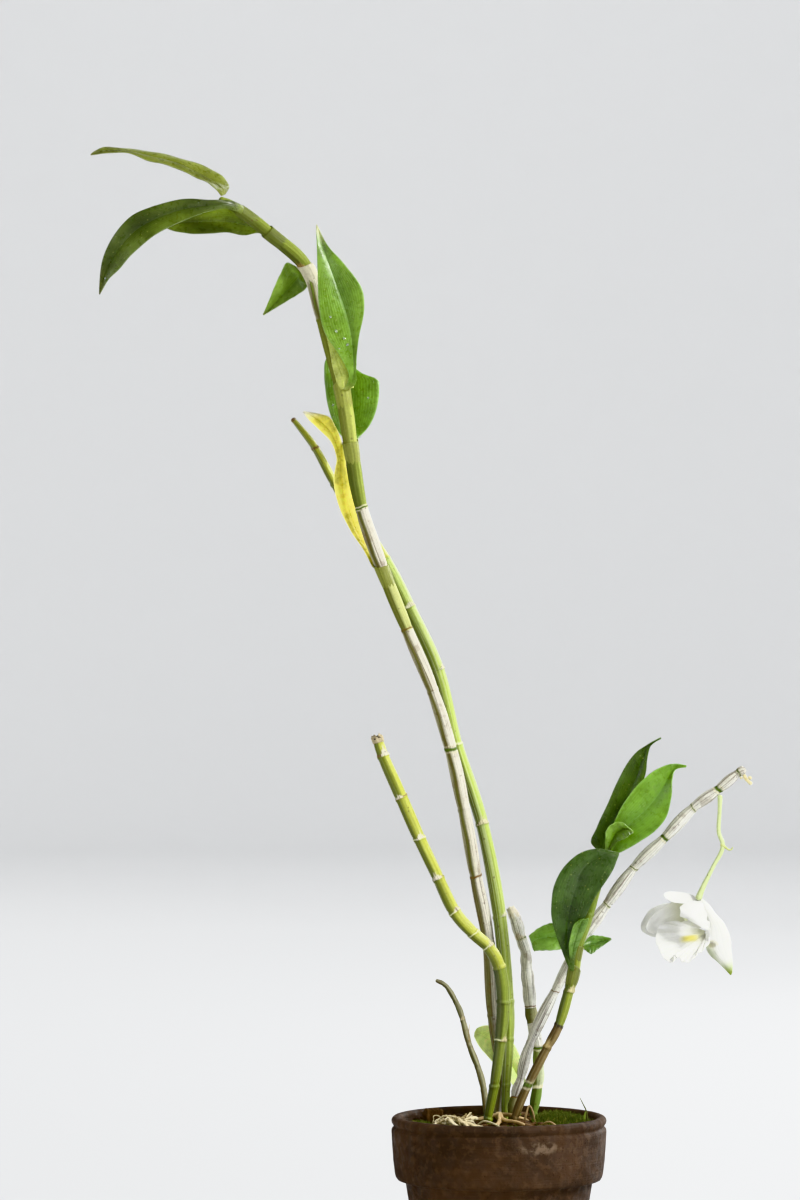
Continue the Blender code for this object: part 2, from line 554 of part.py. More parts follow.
def make_roots(pale, tan, collection, cutters):
    """The tangle of pale roots at the left and the tan roots that creep out between the canes."""
    draw = random.Random(ROOT_SEED)
    tangle = []
    for index in range(ROOT_COUNT):
        angle = 2 * math.pi * index / ROOT_COUNT
        bend = angle + draw.uniform(*ROOT_BENDS)
        reach = ROOT_REACH * draw.uniform(*ROOT_REACHES)
        middle = (ROOT_KNOT[0] + reach * math.cos(angle), ROOT_KNOT[1] + reach * math.sin(angle))
        end = (ROOT_KNOT[0] + reach * math.cos(bend), ROOT_KNOT[1] + reach * math.sin(bend))
        tangle.append((middle, end, draw.uniform(*ROOT_LIFTS)))
    fuse_roots("pale_roots", ROOT_KNOT, tangle, pale, collection, cutters)
    creeping = [(middle, end, RHIZOME_LIFT) for middle, end in RHIZOME_ROOTS]
    fuse_roots("rhizome_roots", RHIZOME_KNOT, creeping, tan, collection, cutters)


def make_canes(collection):
    """The seven canes."""
    colours = {
        "tall_leafy_cane": (0.62, 0.60, 0.48),
        "tall_green_cane": (0.30, 0.48, 0.07),
        "short_green_cane": (0.28, 0.42, 0.03),
        "thin_dry_cane": (0.22, 0.22, 0.14),
        "short_dry_cane": (0.70, 0.67, 0.55),
        "flowering_cane": (0.74, 0.71, 0.60),
        "leafy_shoot": (0.14, 0.15, 0.05),
    }
    for name, (bulge, ridge, nodes) in CANES.items():
        mat = material(name + "_skin", colours[name], 0.5)
        tube(name, cane_rows(bulge, ridge, nodes), mat, collection)


def make_leaves(collection):
    """Every leaf, each just clear of the node that carries it, and the basal leaf in the soil."""
    colours = {
        "top_narrow_leaf": (0.20, 0.26, 0.04),
        "top_drooping_leaf": (0.04, 0.10, 0.01),
        "yellow_leaf": (0.68, 0.60, 0.08),
        "shoot_right_leaf": (0.15, 0.40, 0.02),
        "bright_folded_leaf": (0.12, 0.31, 0.02),
        "broad_back_leaf": (0.12, 0.30, 0.02),
    }
    dark_leaf = (0.05, 0.14, 0.02)
    for name, (cane, node, leaves, base_face, tip_face, fold, wave, midrib) in LEAVES.items():
        seat = node_seat(cane, node, leaves)
        rows = ((seat.x, seat.y, seat.z, SEAT_HALF_WIDTH),) + midrib
        mat = material(name + "_green", colours.get(name, dark_leaf), 0.4)
        blade(name, rows, base_face, tip_face, fold, wave, BLADE_THICKNESS, mat, collection)
    pale = material("basal_leaf_green", (0.40, 0.60, 0.15), 0.45)
    blade("basal_leaf", BASAL_LEAF, (0, -1, 0.1), (0, -1, 0.2), 14, 0.3, BLADE_THICKNESS, pale, collection)


def make_flower(collection):
    """The flower stalk, the bloom's sepals, petals, lip and column, and the old flower's stub."""
    green = material("stalk_green", (0.50, 0.62, 0.24), 0.5)
    white = material("petal_white", (0.85, 0.85, 0.80), 0.55)
    dry = material("stub_cream", (0.62, 0.55, 0.38), 0.7)
    seat = node_seat("flowering_cane", STALK_NODE, STALK_LEAVES)
    stalk = ((seat.x, seat.y, seat.z - STALK_DROP, STALK_RADIUS),) + STALK
    tube("flower_stalk", smooth_rows(stalk, 3), green, collection)
    tube("spur", smooth_rows(SPUR, 3), white, collection)
    tube("column", smooth_rows(COLUMN, 3), white, collection)
    tube("old_flower_stub", smooth_rows(OLD_STUB, 2), dry, collection)
    for name, (base_face, tip_face, fold, wave, midrib) in PETALS.items():
        blade(name, midrib, base_face, tip_face, fold, wave, PETAL_THICKNESS, white, collection)


def main():
    """Builds the whole plant in its pot."""
    for obj in list(bpy.data.objects):
        bpy.data.objects.remove(obj)
    parts = bpy.data.collections.new("potted_dendrobium_orchid")
    cutters = bpy.data.collections.new("cutters")
    bpy.context.scene.collection.children.link(parts)
    bpy.context.scene.collection.children.link(cutters)
    clay = material("terracotta", (0.19, 0.09, 0.05), 0.85)
    bark = material("potting_bark", (0.07, 0.05, 0.03), 0.95)
    moss = material("moss_green", (0.07, 0.12, 0.02), 0.95)
    pale = material("pale_root", (0.45, 0.38, 0.25), 0.8)
    tan = material("tan_root", (0.28, 0.18, 0.08), 0.8)
    make_pot(clay, parts, cutters)
    make_mix(bark, parts, cutters)
    make_moss(moss, parts)
    make_bark(bark, parts)
    make_roots(pale, tan, parts, cutters)
    make_canes(parts)
    make_leaves(parts)
    make_flower(parts)


main()
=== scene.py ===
"""Looks of the potted dendrobium orchid: seven canes, their leaves and one bloom in a clay pot.

The plain solids give the frame; every solid is replaced here by a finer piece of the same form.
Lengths in this file are in millimetres and become metres where a mesh is made. Surfaces are grids of
points worked out with numpy; each function says its formula in words.
"""
import math

import bpy
import numpy as np
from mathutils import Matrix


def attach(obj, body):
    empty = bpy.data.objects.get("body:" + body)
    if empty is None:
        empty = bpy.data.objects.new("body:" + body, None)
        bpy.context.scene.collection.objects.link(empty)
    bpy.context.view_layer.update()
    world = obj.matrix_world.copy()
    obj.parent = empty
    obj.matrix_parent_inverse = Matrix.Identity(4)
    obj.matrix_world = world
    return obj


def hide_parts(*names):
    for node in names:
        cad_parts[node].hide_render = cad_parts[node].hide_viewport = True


bl_info = {
    "name": "Potted Dendrobium Orchid",
    "version": (1, 0, 0),
    "blender": (4, 5, 0),
    "location": "View3D > Sidebar > Orchid",
    "description": "Builds the finished look of a potted dendrobium orchid over its plain solids",
    "category": "Add Mesh",
}

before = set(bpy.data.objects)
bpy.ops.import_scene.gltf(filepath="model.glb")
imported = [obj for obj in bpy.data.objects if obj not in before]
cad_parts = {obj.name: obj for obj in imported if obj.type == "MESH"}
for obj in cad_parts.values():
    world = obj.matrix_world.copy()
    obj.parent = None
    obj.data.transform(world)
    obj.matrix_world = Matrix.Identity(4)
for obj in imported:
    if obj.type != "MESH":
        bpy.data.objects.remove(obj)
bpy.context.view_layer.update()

MM = 0.001
FOOT_DEPTH = 12.0
CREASE_DEPTH = 0.22
SEAT_GAP = 0.8
BODY = "root"
FINISHES = {}

# each cane: swelling between nodes, ridge at a node, then its nodes from the soil up as x, y, z, radius
CANES = {
    "tall_leafy_cane": (0.4, 0.25, (
        (0.5, 22, 97, 2.3), (2, 20, 117, 2.5), (-2.5, 18, 147, 2.9), (-5, 13, 184, 3.0),
        (-11.5, 6, 218, 2.9), (-17.5, 2, 251.5, 3.0), (-24.2, 0, 282, 3.0), (-33.3, -2, 311.5, 2.8),
        (-46.1, -4, 342, 2.9), (-58.7, -5, 373, 3.0), (-69, -6, 403, 3.1), (-74.5, -6, 435, 3.4),
        (-79, -4, 463.5, 3.6), (-88.5, 0, 498.5, 3.4), (-96.5, 3, 524, 3.2), (-115.5, 3, 541.5, 3.0),
        (-129, 2, 552, 2.5), (-139.5, 0, 558, 1.5))),
    "tall_green_cane": (0.1, 0.3, (
        (3.5, 15, 97, 2.0), (4, 14.5, 112, 2.1), (5, 13, 135, 2.8), (4.5, 12, 155, 3.3),
        (0.5, 10, 197.5, 3.4), (-8.3, 9, 244, 3.2), (-21.3, 8, 284.5, 3.0), (-30.7, 7, 321.5, 3.3),
        (-45.1, 7, 353, 3.3), (-57.6, 8, 377.5, 3.0), (-70.6, 9, 396.5, 2.5), (-82.6, 9, 415.5, 2.1),
        (-92.4, 9, 433.5, 1.9), (-103.4, 9, 447.8, 1.2))),
    "short_green_cane": (0.1, 0.35, (
        (-5.5, -3, 97, 2.0), (-2.5, -6, 113.5, 2.4), (0.5, -9, 136.5, 2.8), (2, -11, 156, 3.2),
        (0, -12, 173, 3.2), (-5.5, -13, 183.5, 3.0), (-13, -14, 190.5, 3.0), (-22.5, -16, 201.5, 3.0),
        (-30.5, -17, 218, 2.9), (-40, -18, 238, 3.0), (-49, -18, 258.5, 3.0), (-58, -18, 279, 2.9),
        (-61, -18, 288, 2.3))),
    "thin_dry_cane": (0.2, 0.15, (
        (-6, 8, 97, 1.4), (-7.5, 8, 110, 1.5), (-10.5, 9, 121.5, 1.5), (-14.5, 11, 132, 1.4),
        (-18, 13, 145, 1.3), (-21.5, 14, 154, 1.2), (-26.5, 15, 162, 1.0), (-31, 16, 164.5, 0.8))),
    "short_dry_cane": (0.5, 0.2, (
        (18, 24, 97, 1.8), (20, 24, 110, 2.4), (20.5, 25, 120, 2.6), (20.5, 26, 129.5, 2.6),
        (17.5, 27, 142.5, 2.6), (16.5, 26, 150.5, 2.7), (15.5, 25, 161.5, 3.0), (14.5, 24, 170.5, 2.6),
        (14, 23, 178.5, 2.4), (11.5, 22, 186, 2.5), (9, 21, 195, 2.8), (6.5, 20, 200.5, 1.5))),
    "flowering_cane": (0.9, 0.15, (
        (6.5, 8, 97, 1.6), (8, 8, 106.5, 1.7), (11, 9, 115.5, 1.8), (16, 10, 133.5, 2.1),
        (28.5, 11, 159.5, 2.1), (43, 10, 186.5, 2.1), (54.5, 8, 203.5, 2.1), (68, 6, 222, 2.1),
        (83, 3, 237, 2.1), (97.5, 0, 252.5, 2.1), (110, -3, 262, 2.0), (119.5, -5, 270, 1.7),
        (123, -6, 272, 1.3))),
    "leafy_shoot": (0.3, 0.3, (
        (8, -2, 97, 1.8), (14.5, -2, 113.5, 2.0), (24, -2, 132, 2.1), (30, -2, 143.5, 2.2),
        (35, -2, 160.5, 2.5), (37.5, -2, 170, 2.7), (39.5, -2, 183, 2.5), (45, -2, 199, 2.4),
        (49, -1, 215, 2.2), (53.5, 1, 230, 2.0))),
}

# each cane's looks: slot, ribs round it and their depth, the shape of its end, the skin of its foot and
# of each length between nodes, then its coloured rings as node, colour, half width
CANE_LOOKS = {
    "tall_leafy_cane": ("papery_cane", 11, 0.10, 0.8, (
        "grey", "grey", "grey", "worn", "worn", "banded", "banded", "banded", "banded", "torn", "banded", "green",
        "striped", "striped", "banded", "green", "green", "green"), (
        (3, "ring green", 0.9), (6, "ring green", 1.0), (8, "ring brown", 0.4), (9, "ring brown", 0.4),
        (10, "ring green", 0.5), (4, "ring brown", 0.6))),
    "tall_green_cane": ("green_cane", 9, 0.05, 0.9, ("fresh",) * 10 + ("lime",) * 4, (
        (12, "ring brown", 0.6), (13, "ring brown", 1.5), (8, "ring pale", 0.4), (6, "ring pale", 0.5))),
    "short_green_cane": ("yellow_green_cane", 7, 0.06, 0.12, (
        "deep lime",) * 5 + ("lime",) * 8, (
        (2, "ring pale", 0.3), (5, "ring pale", 0.3), (6, "ring pale", 0.25), (7, "ring pale", 0.25),
        (8, "ring brown", 0.25), (9, "ring pale", 0.3), (10, "ring brown", 0.3), (11, "ring brown", 0.35),
        (12, "ring dark", 2.4))),
    "thin_dry_cane": ("withered_cane", 5, 0.16, 0.9, ("withered",) * 8, ()),
    "short_dry_cane": ("papery_cane", 7, 0.16, 0.9, (
        "foot", "foot", "striped pale", "striped pale", "white", "dusky", "white", "white", "white", "white",
        "white", "white"), (
        (3, "ring green", 0.8), (5, "ring brown", 0.4), (9, "ring green", 0.5), (1, "ring cream", 0.8))),
    "flowering_cane": ("papery_cane", 9, 0.12, 0.5, (
        "dusky", "dusky") + ("white",) * 11, (
        (6, "ring green", 0.35), (7, "ring green", 0.35), (8, "ring green", 1.0), (9, "ring green", 0.35),
        (10, "ring green", 1.1), (11, "ring green", 0.35), (1, "ring brown", 0.5), (4, "ring brown", 0.3))),
    "leafy_shoot": ("shoot_skin", 9, 0.06, 0.8, (
        "brown", "brown", "brown", "brown", "olive", "olive", "olive", "leafy", "leafy", "leafy"), (
        (1, "ring green", 1.2), (3, "ring dark", 0.8), (5, "ring cream", 0.5), (6, "ring cream", 0.3))),
}

# each skin: its colour on the left, darker as painted shade, and on the right, lighter as painted light, as red,
# green, blue out of 255, how papery it is, and how strongly a band of painted shade in olive shows left of its
# middle
SKINS = {
    "white": ((222, 220, 204), (245, 244, 234), 1.0, 0.0),
    "banded": ((178, 174, 142), (236, 232, 214), 0.9, 1.0),
    "worn": ((128, 124, 88), (236, 232, 216), 0.9, 0.5),
    "torn": ((104, 112, 42), (188, 192, 120), 0.25, 0.5),
    "grey": ((132, 130, 100), (222, 218, 202), 0.9, 0.6),
    "green": ((80, 92, 32), (124, 136, 54), 0.1, 0.2),
    "striped": ((116, 124, 50), (158, 166, 78), 0.2, 0.4),
    "striped pale": ((128, 146, 80), (204, 212, 170), 0.5, 0.4),
    "fresh": ((94, 108, 34), (164, 182, 84), 0.12, 0.1),
    "lime": ((98, 106, 30), (170, 174, 66), 0.05, 0.0),
    "deep lime": ((64, 74, 26), (122, 136, 50), 0.05, 0.2),
    "withered": ((84, 84, 58), (160, 158, 124), 0.8, 0.3),
    "foot": ((74, 96, 40), (122, 148, 70), 0.2, 0.3),
    "dusky": ((92, 96, 58), (150, 150, 108), 0.5, 0.4),
    "brown": ((84, 68, 40), (134, 116, 74), 0.7, 0.0),
    "olive": ((76, 88, 26), (128, 140, 46), 0.1, 0.0),
    "leafy": ((80, 100, 30), (116, 134, 46), 0.1, 0.0),
}
RINGS = {
    "ring green": (72, 94, 18), "ring brown": (112, 84, 40), "ring pale": (214, 216, 168),
    "ring cream": (232, 226, 188), "ring dark": (46, 34, 20),
}
# the olive of the band of painted shade on the left side of each cane
SHADE_BAND_OLIVE = (108, 108, 56)
WAX = {"green_cane": 0.28, "yellow_green_cane": 0.06, "shoot_skin": 0.06}

# dry remnants of sheath that cling to a cane: cane, node, which way round they sit in degrees (0 right,
# -90 to the front), half their width in degrees, height, colour
REMNANTS = (
    ("short_green_cane", 11, -60, 45, 2.8, (226, 222, 196)),
    ("short_green_cane", 10, -110, 40, 2.4, (222, 216, 190)),
    ("short_green_cane", 9, -70, 48, 3.0, (228, 224, 200)), ("short_green_cane", 8, -100, 50, 2.6, (226, 220, 194)),
    ("short_green_cane", 7, -60, 42, 2.4, (220, 214, 186)), ("short_green_cane", 5, -40, 42, 2.2, (214, 208, 176)),
    ("short_green_cane", 2, -30, 60, 2.6, (198, 188, 140)), ("tall_green_cane", 10, -30, 50, 2.0, (214, 214, 176)),
    ("tall_green_cane", 9, -140, 50, 1.8, (210, 208, 170)), ("tall_green_cane", 8, -60, 60, 2.4, (216, 214, 182)),
    ("tall_green_cane", 7, -20, 60, 2.2, (216, 214, 182)), ("tall_green_cane", 5, -70, 70, 2.6, (206, 200, 160)),
    ("tall_green_cane", 4, -20, 60, 2.4, (216, 214, 182)), ("leafy_shoot", 4, -60, 60, 3.0, (196, 188, 138)),
    ("leafy_shoot", 2, -120, 60, 4.5, (176, 156, 104)), ("short_dry_cane", 9, -110, 60, 3.2, (228, 218, 190)),
    ("thin_dry_cane", 4, -90, 70, 2.0, (176, 166, 128)), ("tall_leafy_cane", 14, -150, 60, 5.0, (168, 138, 88)))

# the tall cane's leaf sheaths: the colour at each of its nodes
TALL_SHEATHS = {14: (206, 200, 172), 15: (104, 114, 44), 16: (104, 114, 44), "other": (138, 144, 62)}
# other sheaths: cane, node, the way it opens, how far it reaches down and up, colour, how ragged
SHOOT_SHEATHS = (
    ("leafy_shoot", 5, (-0.3, -1, 0.3), 7, 3.5, (104, 112, 42)),
    ("leafy_shoot", 6, (-0.6, 1, 0.1), 7, 1.5, (112, 122, 46)),
    ("leafy_shoot", 8, (0.6, 0.4, 0.2), 10, 4.0, (118, 134, 50)))
DRY_SHEATHS = (
    ("short_green_cane", 12, (-0.3, 1, 0.3), 3.4, 2.6, (192, 178, 142), 0.7),
    ("short_dry_cane", 11, (-0.3, -1, 0.3), 5.0, 2.0, (226, 218, 196), 0.4))

# each leaf: its cane and node, the way its sheath opens, its slot, then rows from the cane to the tip as
# x, y, z of one margin, of the crease, and of the other margin
LEAVES = {
    "top_narrow_leaf": ("tall_leafy_cane", 17, (0.4, 0, 1), "leaf_olive", (
        (-139.6, -0.6, 560, -138.6, -0.4, 560.2, -137.6, 0.8, 561),
        (-142.2, -3.4, 563, -139, -0.8, 563.6, -135.8, 3, 565),
        (-146.6, -4.6, 566.4, -142.6, -1.6, 566.6, -138.5, 5, 569.4),
        (-153.4, -5.8, 569.6, -150, -1.2, 570.6, -146, 6, 574.2),
        (-164.5, -6.6, 574.4, -161.5, -1.2, 576.2, -159.5, 6.2, 579.2),
        (-174.8, -6.4, 576.8, -174, -1, 579.6, -173.5, 5.4, 582.3),
        (-187, -5.2, 581.4, -186.6, -1, 582.2, -186.5, 4.2, 583.8),
        (-198.6, -3.4, 581, -198.2, -1.4, 582.6, -198, 2.2, 584.6),
        (-204.9, -2.2, 580.2, -205, -2, 580.6, -204.6, -1.8, 581.2))),
    "top_drooping_leaf": ("tall_leafy_cane", 16, (-0.2, -1, 0), "leaf_green", (
        (-129.4, -1.8, 551.2, -128.4, -2.4, 553, -128.8, -1.8, 554.8),
        (-133.4, -6.6, 552.2, -133, -7, 554.4, -132.4, -5.6, 556.4),
        (-138, -9.4, 552.8, -138, -9.4, 555.2, -137.4, -8.6, 557.2),
        (-149, -13.4, 550, -148.5, -11.6, 553.8, -147.1, -12, 557.2),
        (-157.5, -15.4, 546.4, -158, -12.6, 552.4, -155.5, -12.6, 557.6),
        (-167, -16.6, 542, -166.5, -13.2, 549.6, -163.5, -12.8, 556.4),
        (-175.5, -17.4, 536.4, -175.6, -13.6, 545.6, -174.5, -13.4, 553.2),
        (-183.6, -17.4, 529.2, -183.6, -14, 540, -184.5, -14, 548.4),
        (-190.2, -16.8, 521.8, -190.6, -14.2, 531.4, -193, -14.4, 538.4),
        (-195.6, -15.4, 516.4, -196, -14, 522, -198.4, -14.2, 526.5),
        (-199.6, -13.6, 509.6, -200, -13.4, 510, -200.1, -13.6, 511.2))),
    "top_under_leaf": ("tall_leafy_cane", 15, (-0.2, 1, 0.1), "leaf_green", (
        (-116.4, 7.2, 540.6, -116.4, 7.2, 541.9, -116.4, 7.2, 543.4),
        (-121.9, 10.4, 542.1, -121.5, 11.4, 544.4, -121.5, 11.4, 547.6),
        (-128, 10.4, 540.9, -128.5, 12.8, 546, -128.5, 13, 553),
        (-137.5, 10.6, 542.4, -137, 13, 547.6, -137, 13.8, 556.4),
        (-150.1, 9.6, 541.5, -149, 12.6, 548, -149, 14.2, 554),
        (-159, 9.4, 542.2, -158.5, 12, 547.6, -158.5, 13.6, 552.4),
        (-166, 9.8, 543.8, -166.5, 11.4, 546.8, -167, 12.4, 549.4),
        (-170, 10.8, 546.4, -170.2, 11, 547, -170, 11.2, 547.6))),
    "small_pointed_leaf": ("tall_leafy_cane", 14, (-1, 0.6, -0.3), "leaf_green", (
        (-98.4, 5.2, 521, -100, 5.4, 522.9, -101.6, 5.2, 524.6),
        (-96.6, 6.8, 514.8, -100.6, 8.8, 519.6, -106.8, 6.4, 526.8),
        (-100.4, 7, 511.4, -104.4, 9.2, 515.4, -109.4, 6.4, 522.4),
        (-106.2, 7, 507.8, -109, 8.8, 510.6, -112.6, 6.6, 515.6),
        (-112.2, 7.2, 504.2, -113.6, 8, 505.6, -115.6, 6.8, 508.2),
        (-118.4, 7, 500.4, -118.7, 7.2, 500.6, -118.6, 7, 501.2))),
    "bright_folded_leaf": ("tall_leafy_cane", 12, (0.3, -1, 0.1), "leaf_bright", (
        (-78.2, -8.8, 462.5, -77.5, -9, 462.3, -76.8, -8.8, 462.1),
        (-76, -9.8, 466, -74.2, -9.8, 465.6, -72, -9.8, 465.2),
        (-75.7, -11.5, 471.2, -72.7, -10.4, 471.9, -71.6, -11, 472.7),
        (-81.1, -14, 481.1, -72.9, -11.4, 481.1, -71, -12, 482.6),
        (-86.8, -16, 489.5, -73.6, -12.8, 489.5, -69.6, -14, 491.1),
        (-89.9, -17, 500.3, -76.5, -14.2, 500.3, -67.5, -16.6, 502.6),
        (-90.7, -17, 512.5, -81.4, -14.6, 513.3, -69.1, -17, 513.3),
        (-91, -16, 526.3, -84.9, -14.2, 523.3, -77.6, -16, 524.8),
        (-91.3, -14.5, 537, -88, -13.4, 532.4, -85.7, -14, 534),
        (-91.6, -13, 544.3, -91.4, -13, 544.7, -91.1, -13, 544.2))),
    "broad_back_leaf": ("tall_leafy_cane", 11, (0.1, 1, 0.2), "leaf_bright", (
        (-75.4, -1.4, 436.2, -74.1, -1.4, 435.9, -72.8, -1.4, 435.9),
        (-80.1, 2.6, 440.8, -74.2, 3.6, 438.6, -69.6, 2.6, 439.6),
        (-83.4, 4, 446.8, -74.2, 5.8, 445, -64.6, 3.6, 445.4), (-86, 4.6, 454.6, -74.4, 6.8, 454, -61.2, 4, 454.3),
        (-87.4, 5, 463.6, -74.8, 7.4, 463, -60.2, 4.4, 463.8), (-87.9, 5.6, 471, -76, 7.8, 470.6, -61, 5.2, 467.8),
        (-87.4, 6.4, 477.5, -80, 8, 476.4, -68, 6.4, 470.8),
        (-84.6, 7.4, 481.4, -83.2, 7.8, 481, -79.6, 7.6, 478.4))),
    "yellow_leaf": ("tall_leafy_cane", 9, (-1, 1, 0), "leaf_yellow", (
        (-63.8, -1.8, 374, -63, -1.6, 373.2, -62.4, -1.4, 373.4),
        (-68, 0.4, 382.1, -66.8, 0.8, 382.8, -65.4, 1.8, 383),
        (-74.2, 0.6, 391.3, -71.4, 1.6, 391, -68, 2.4, 390.8),
        (-79.8, 0.2, 402.6, -76, 1.6, 402.8, -71.6, 2.2, 403.1),
        (-82.9, -0.6, 415.4, -78.8, 1.3, 414.4, -74.2, 1.8, 413.4),
        (-82.2, -0.8, 423, -79.6, 0.9, 423.6, -76.8, 1.4, 424.7),
        (-81.6, -0.6, 428.6, -80.2, 0.6, 430.2, -78.2, 1.2, 432.6),
        (-84.2, -0.2, 436.2, -82.6, 1, 437.6, -80, 1.8, 439),
        (-89.6, 0.4, 442.1, -86.6, 1.8, 443.8, -82.6, 2.6, 444.8),
        (-94.7, 1.2, 446.7, -91.4, 2.6, 448.2, -86.2, 3, 449.4),
        (-98.4, 2.4, 451.2, -98.6, 2.6, 451.6, -97.6, 2.8, 451.7))),
    "shoot_front_leaf": ("leafy_shoot", 5, (-0.3, -1, 0.3), "leaf_green", (
        (35.4, -5.9, 171.6, 36.5, -5.9, 171, 37.4, -5.9, 171.2), (31.6, -9.6, 180.8, 34.2, -9, 179, 38, -9, 180.4),
        (28.2, -12.2, 189.6, 34, -11, 190, 40, -11.4, 190.8),
        (26, -13.6, 198.4, 34.4, -12.6, 200, 43.4, -12.6, 199.6),
        (26, -14.4, 207.2, 36, -13.2, 207.6, 47.2, -13.2, 207.4),
        (27.6, -14.8, 215.6, 38.2, -13.4, 214.4, 50.8, -13.2, 213),
        (32.2, -14.8, 223.8, 40.6, -13.4, 221.4, 54, -12.6, 217.6),
        (39.6, -14, 230.2, 45.2, -12.9, 226.4, 57, -11.8, 222.6),
        (49, -12.6, 232.8, 52.4, -11.9, 230, 58.6, -11.2, 226.6),
        (59.4, -10.6, 230.6, 59.8, -10.6, 230.4, 59.8, -10.6, 229.6))),
    "shoot_upright_leaf": ("leafy_shoot", 9, (-0.5, 0.8, 0), "leaf_green", (
        (50.8, 3.8, 230.4, 52, 3.8, 230, 53, 4.2, 229.8), (46.4, 5.6, 235, 52.6, 6.4, 234, 57.4, 6.4, 235),
        (49.4, 6.6, 242.6, 57, 8.6, 243, 62.4, 7.6, 244.6), (55.2, 7, 255, 63.6, 9.4, 254, 68.6, 8, 256.4),
        (61.6, 7.4, 269.2, 70.2, 9.4, 269, 73.6, 8.4, 267.4), (68, 7.6, 278.9, 73, 9.2, 277, 75, 8.4, 276.6),
        (74.2, 7.4, 283.6, 75.4, 8.4, 283, 76.6, 8, 283.2), (81.6, 7, 287.8, 81.9, 7.2, 287.5, 81.8, 7, 287.2))),
    "shoot_right_leaf": ("leafy_shoot", 9, (1, -0.3, -0.2), "leaf_bright", (
        (55.6, 0, 230.6, 56.1, -0.2, 229.5, 56.6, -0.2, 228.6), (56.2, -2.6, 239, 60, -1, 236.6, 61.6, -2.4, 230.6),
        (58.4, -4, 247.4, 65.4, -1, 244.8, 69.6, -3.8, 235.2), (63.8, -4.8, 257, 72, -1.2, 250.2, 78, -4.6, 241),
        (70, -4.8, 264.8, 77.6, -1.2, 256, 83.8, -4.6, 248.2), (76.6, -4.2, 270.6, 82, -1.2, 262, 86.4, -4, 258),
        (83, -3.2, 273.8, 85.2, -1.2, 267.6, 86.9, -3.2, 266.6),
        (88.4, -2, 274.8, 88.6, -0.9, 272.8, 88.4, -1.8, 271.6),
        (94, -0.6, 274, 94.2, -0.6, 273.4, 93.6, -0.6, 273))),
    "shoot_young_leaf": ("leafy_shoot", 9, (0.2, -1, 0.1), "leaf_bright", (
        (53.2, -2, 230.6, 54, -1.9, 230.2, 54.8, -2, 230), (53.2, -7.4, 237, 56.2, -5, 235.6, 58.4, -7.6, 235.4),
        (53.8, -9, 242, 58.4, -6, 239.8, 61, -9.4, 236.9), (57.2, -9.6, 245.4, 61.4, -6.8, 242, 63.6, -9.8, 238),
        (61.6, -9.4, 245.6, 63.8, -7.6, 242.6, 65.6, -9.4, 239.6),
        (67, -8.8, 241.2, 67.4, -8.6, 240.7, 67, -8.8, 240.3))),
    "shoot_lower_left_leaf": ("leafy_shoot", 6, (-0.6, 1, 0.1), "leaf_bright", (
        (37.8, 1, 182.2, 37.7, 1.4, 183.3, 37.6, 1.8, 184.6), (33.8, 1, 182, 33.6, 3.4, 185.4, 34, 5.6, 189.6),
        (28.2, -0.2, 181.2, 27.8, 4.8, 187.4, 27.4, 9, 193.8), (23, 0.2, 180.9, 22.6, 5.6, 187, 22.4, 9.6, 192.6),
        (19.2, 1.6, 180.8, 18.6, 5.6, 185.8, 18, 9.4, 189.8),
        (17.8, 2.8, 180.2, 16.6, 5.6, 183.8, 15.2, 8.6, 187.6))),
    "shoot_lower_right_leaf": ("leafy_shoot", 6, (1, 0.6, 0), "leaf_bright", (
        (42.7, -0.4, 181.6, 42.7, 0, 183, 42.6, 0.4, 184.4), (46.2, -1.6, 179.4, 46.6, 1.8, 184, 46.2, 4.6, 187.8),
        (50, -0.4, 181.8, 51.4, 2.6, 185, 51, 4.8, 187.8), (56.2, 2.6, 185.8, 56.7, 3, 186.4, 56.4, 3.4, 186.8))),
}
# the funnel of pale sheath behind the bright leaf's foot, in the same form
LEAF_FUNNEL = (
    (-80.8, -7.2, 462.6, -77.4, -9, 462.4, -73, -7.6, 463.2),
    (-81.6, -7.8, 467.5, -78, -9.4, 467.5, -73, -8.4, 468),
    (-83.2, -7.6, 473, -80, -9.2, 473.4, -75.5, -8.6, 473.4),
    (-84.6, -7.6, 481, -82.4, -8.8, 481, -79.5, -8.8, 480),
    (-86.4, -7.8, 489.6, -86, -8.2, 489.8, -85.4, -8.4, 489))
# drops of water on leaves, as leaf, x, z, radius
DROPS = (
    ("bright_folded_leaf", -81.5, 491.8, 0.75), ("bright_folded_leaf", -77.6, 487.6, 0.6),
    ("bright_folded_leaf", -76.1, 484.2, 0.7), ("bright_folded_leaf", -79.9, 482.6, 0.45),
    ("bright_folded_leaf", -84.5, 498.0, 0.5), ("broad_back_leaf", -83.6, 454.8, 0.6),
    ("broad_back_leaf", -66.0, 458.5, 0.5), ("top_drooping_leaf", -196.6, 517.5, 0.6))
BASAL_LEAF = (
    (8.4, 29, 85, 10, 29, 85, 11.6, 29, 85), (8.4, 29, 97, 10, 29.2, 97, 11.8, 29, 97),
    (8.6, 28.4, 105.5, 11.2, 29.2, 105.5, 13.6, 28.4, 106), (7.6, 27.4, 110.5, 11, 28.8, 112.5, 13.9, 27.4, 114),
    (3.6, 25.8, 115.4, 7.6, 27.8, 119.5, 11.8, 26, 123.4), (-1.4, 24.4, 121.2, 2.6, 26.8, 127, 7.2, 24.8, 133.2),
    (-6.4, 23.4, 126.8, -3.4, 25.4, 133, 0, 23.8, 139.6), (-10.2, 23, 131.6, -8.4, 24.4, 136.4, -6, 23.4, 141.4),
    (-12.2, 23.6, 135.8, -12, 24, 137.6, -11, 23.6, 139.8))
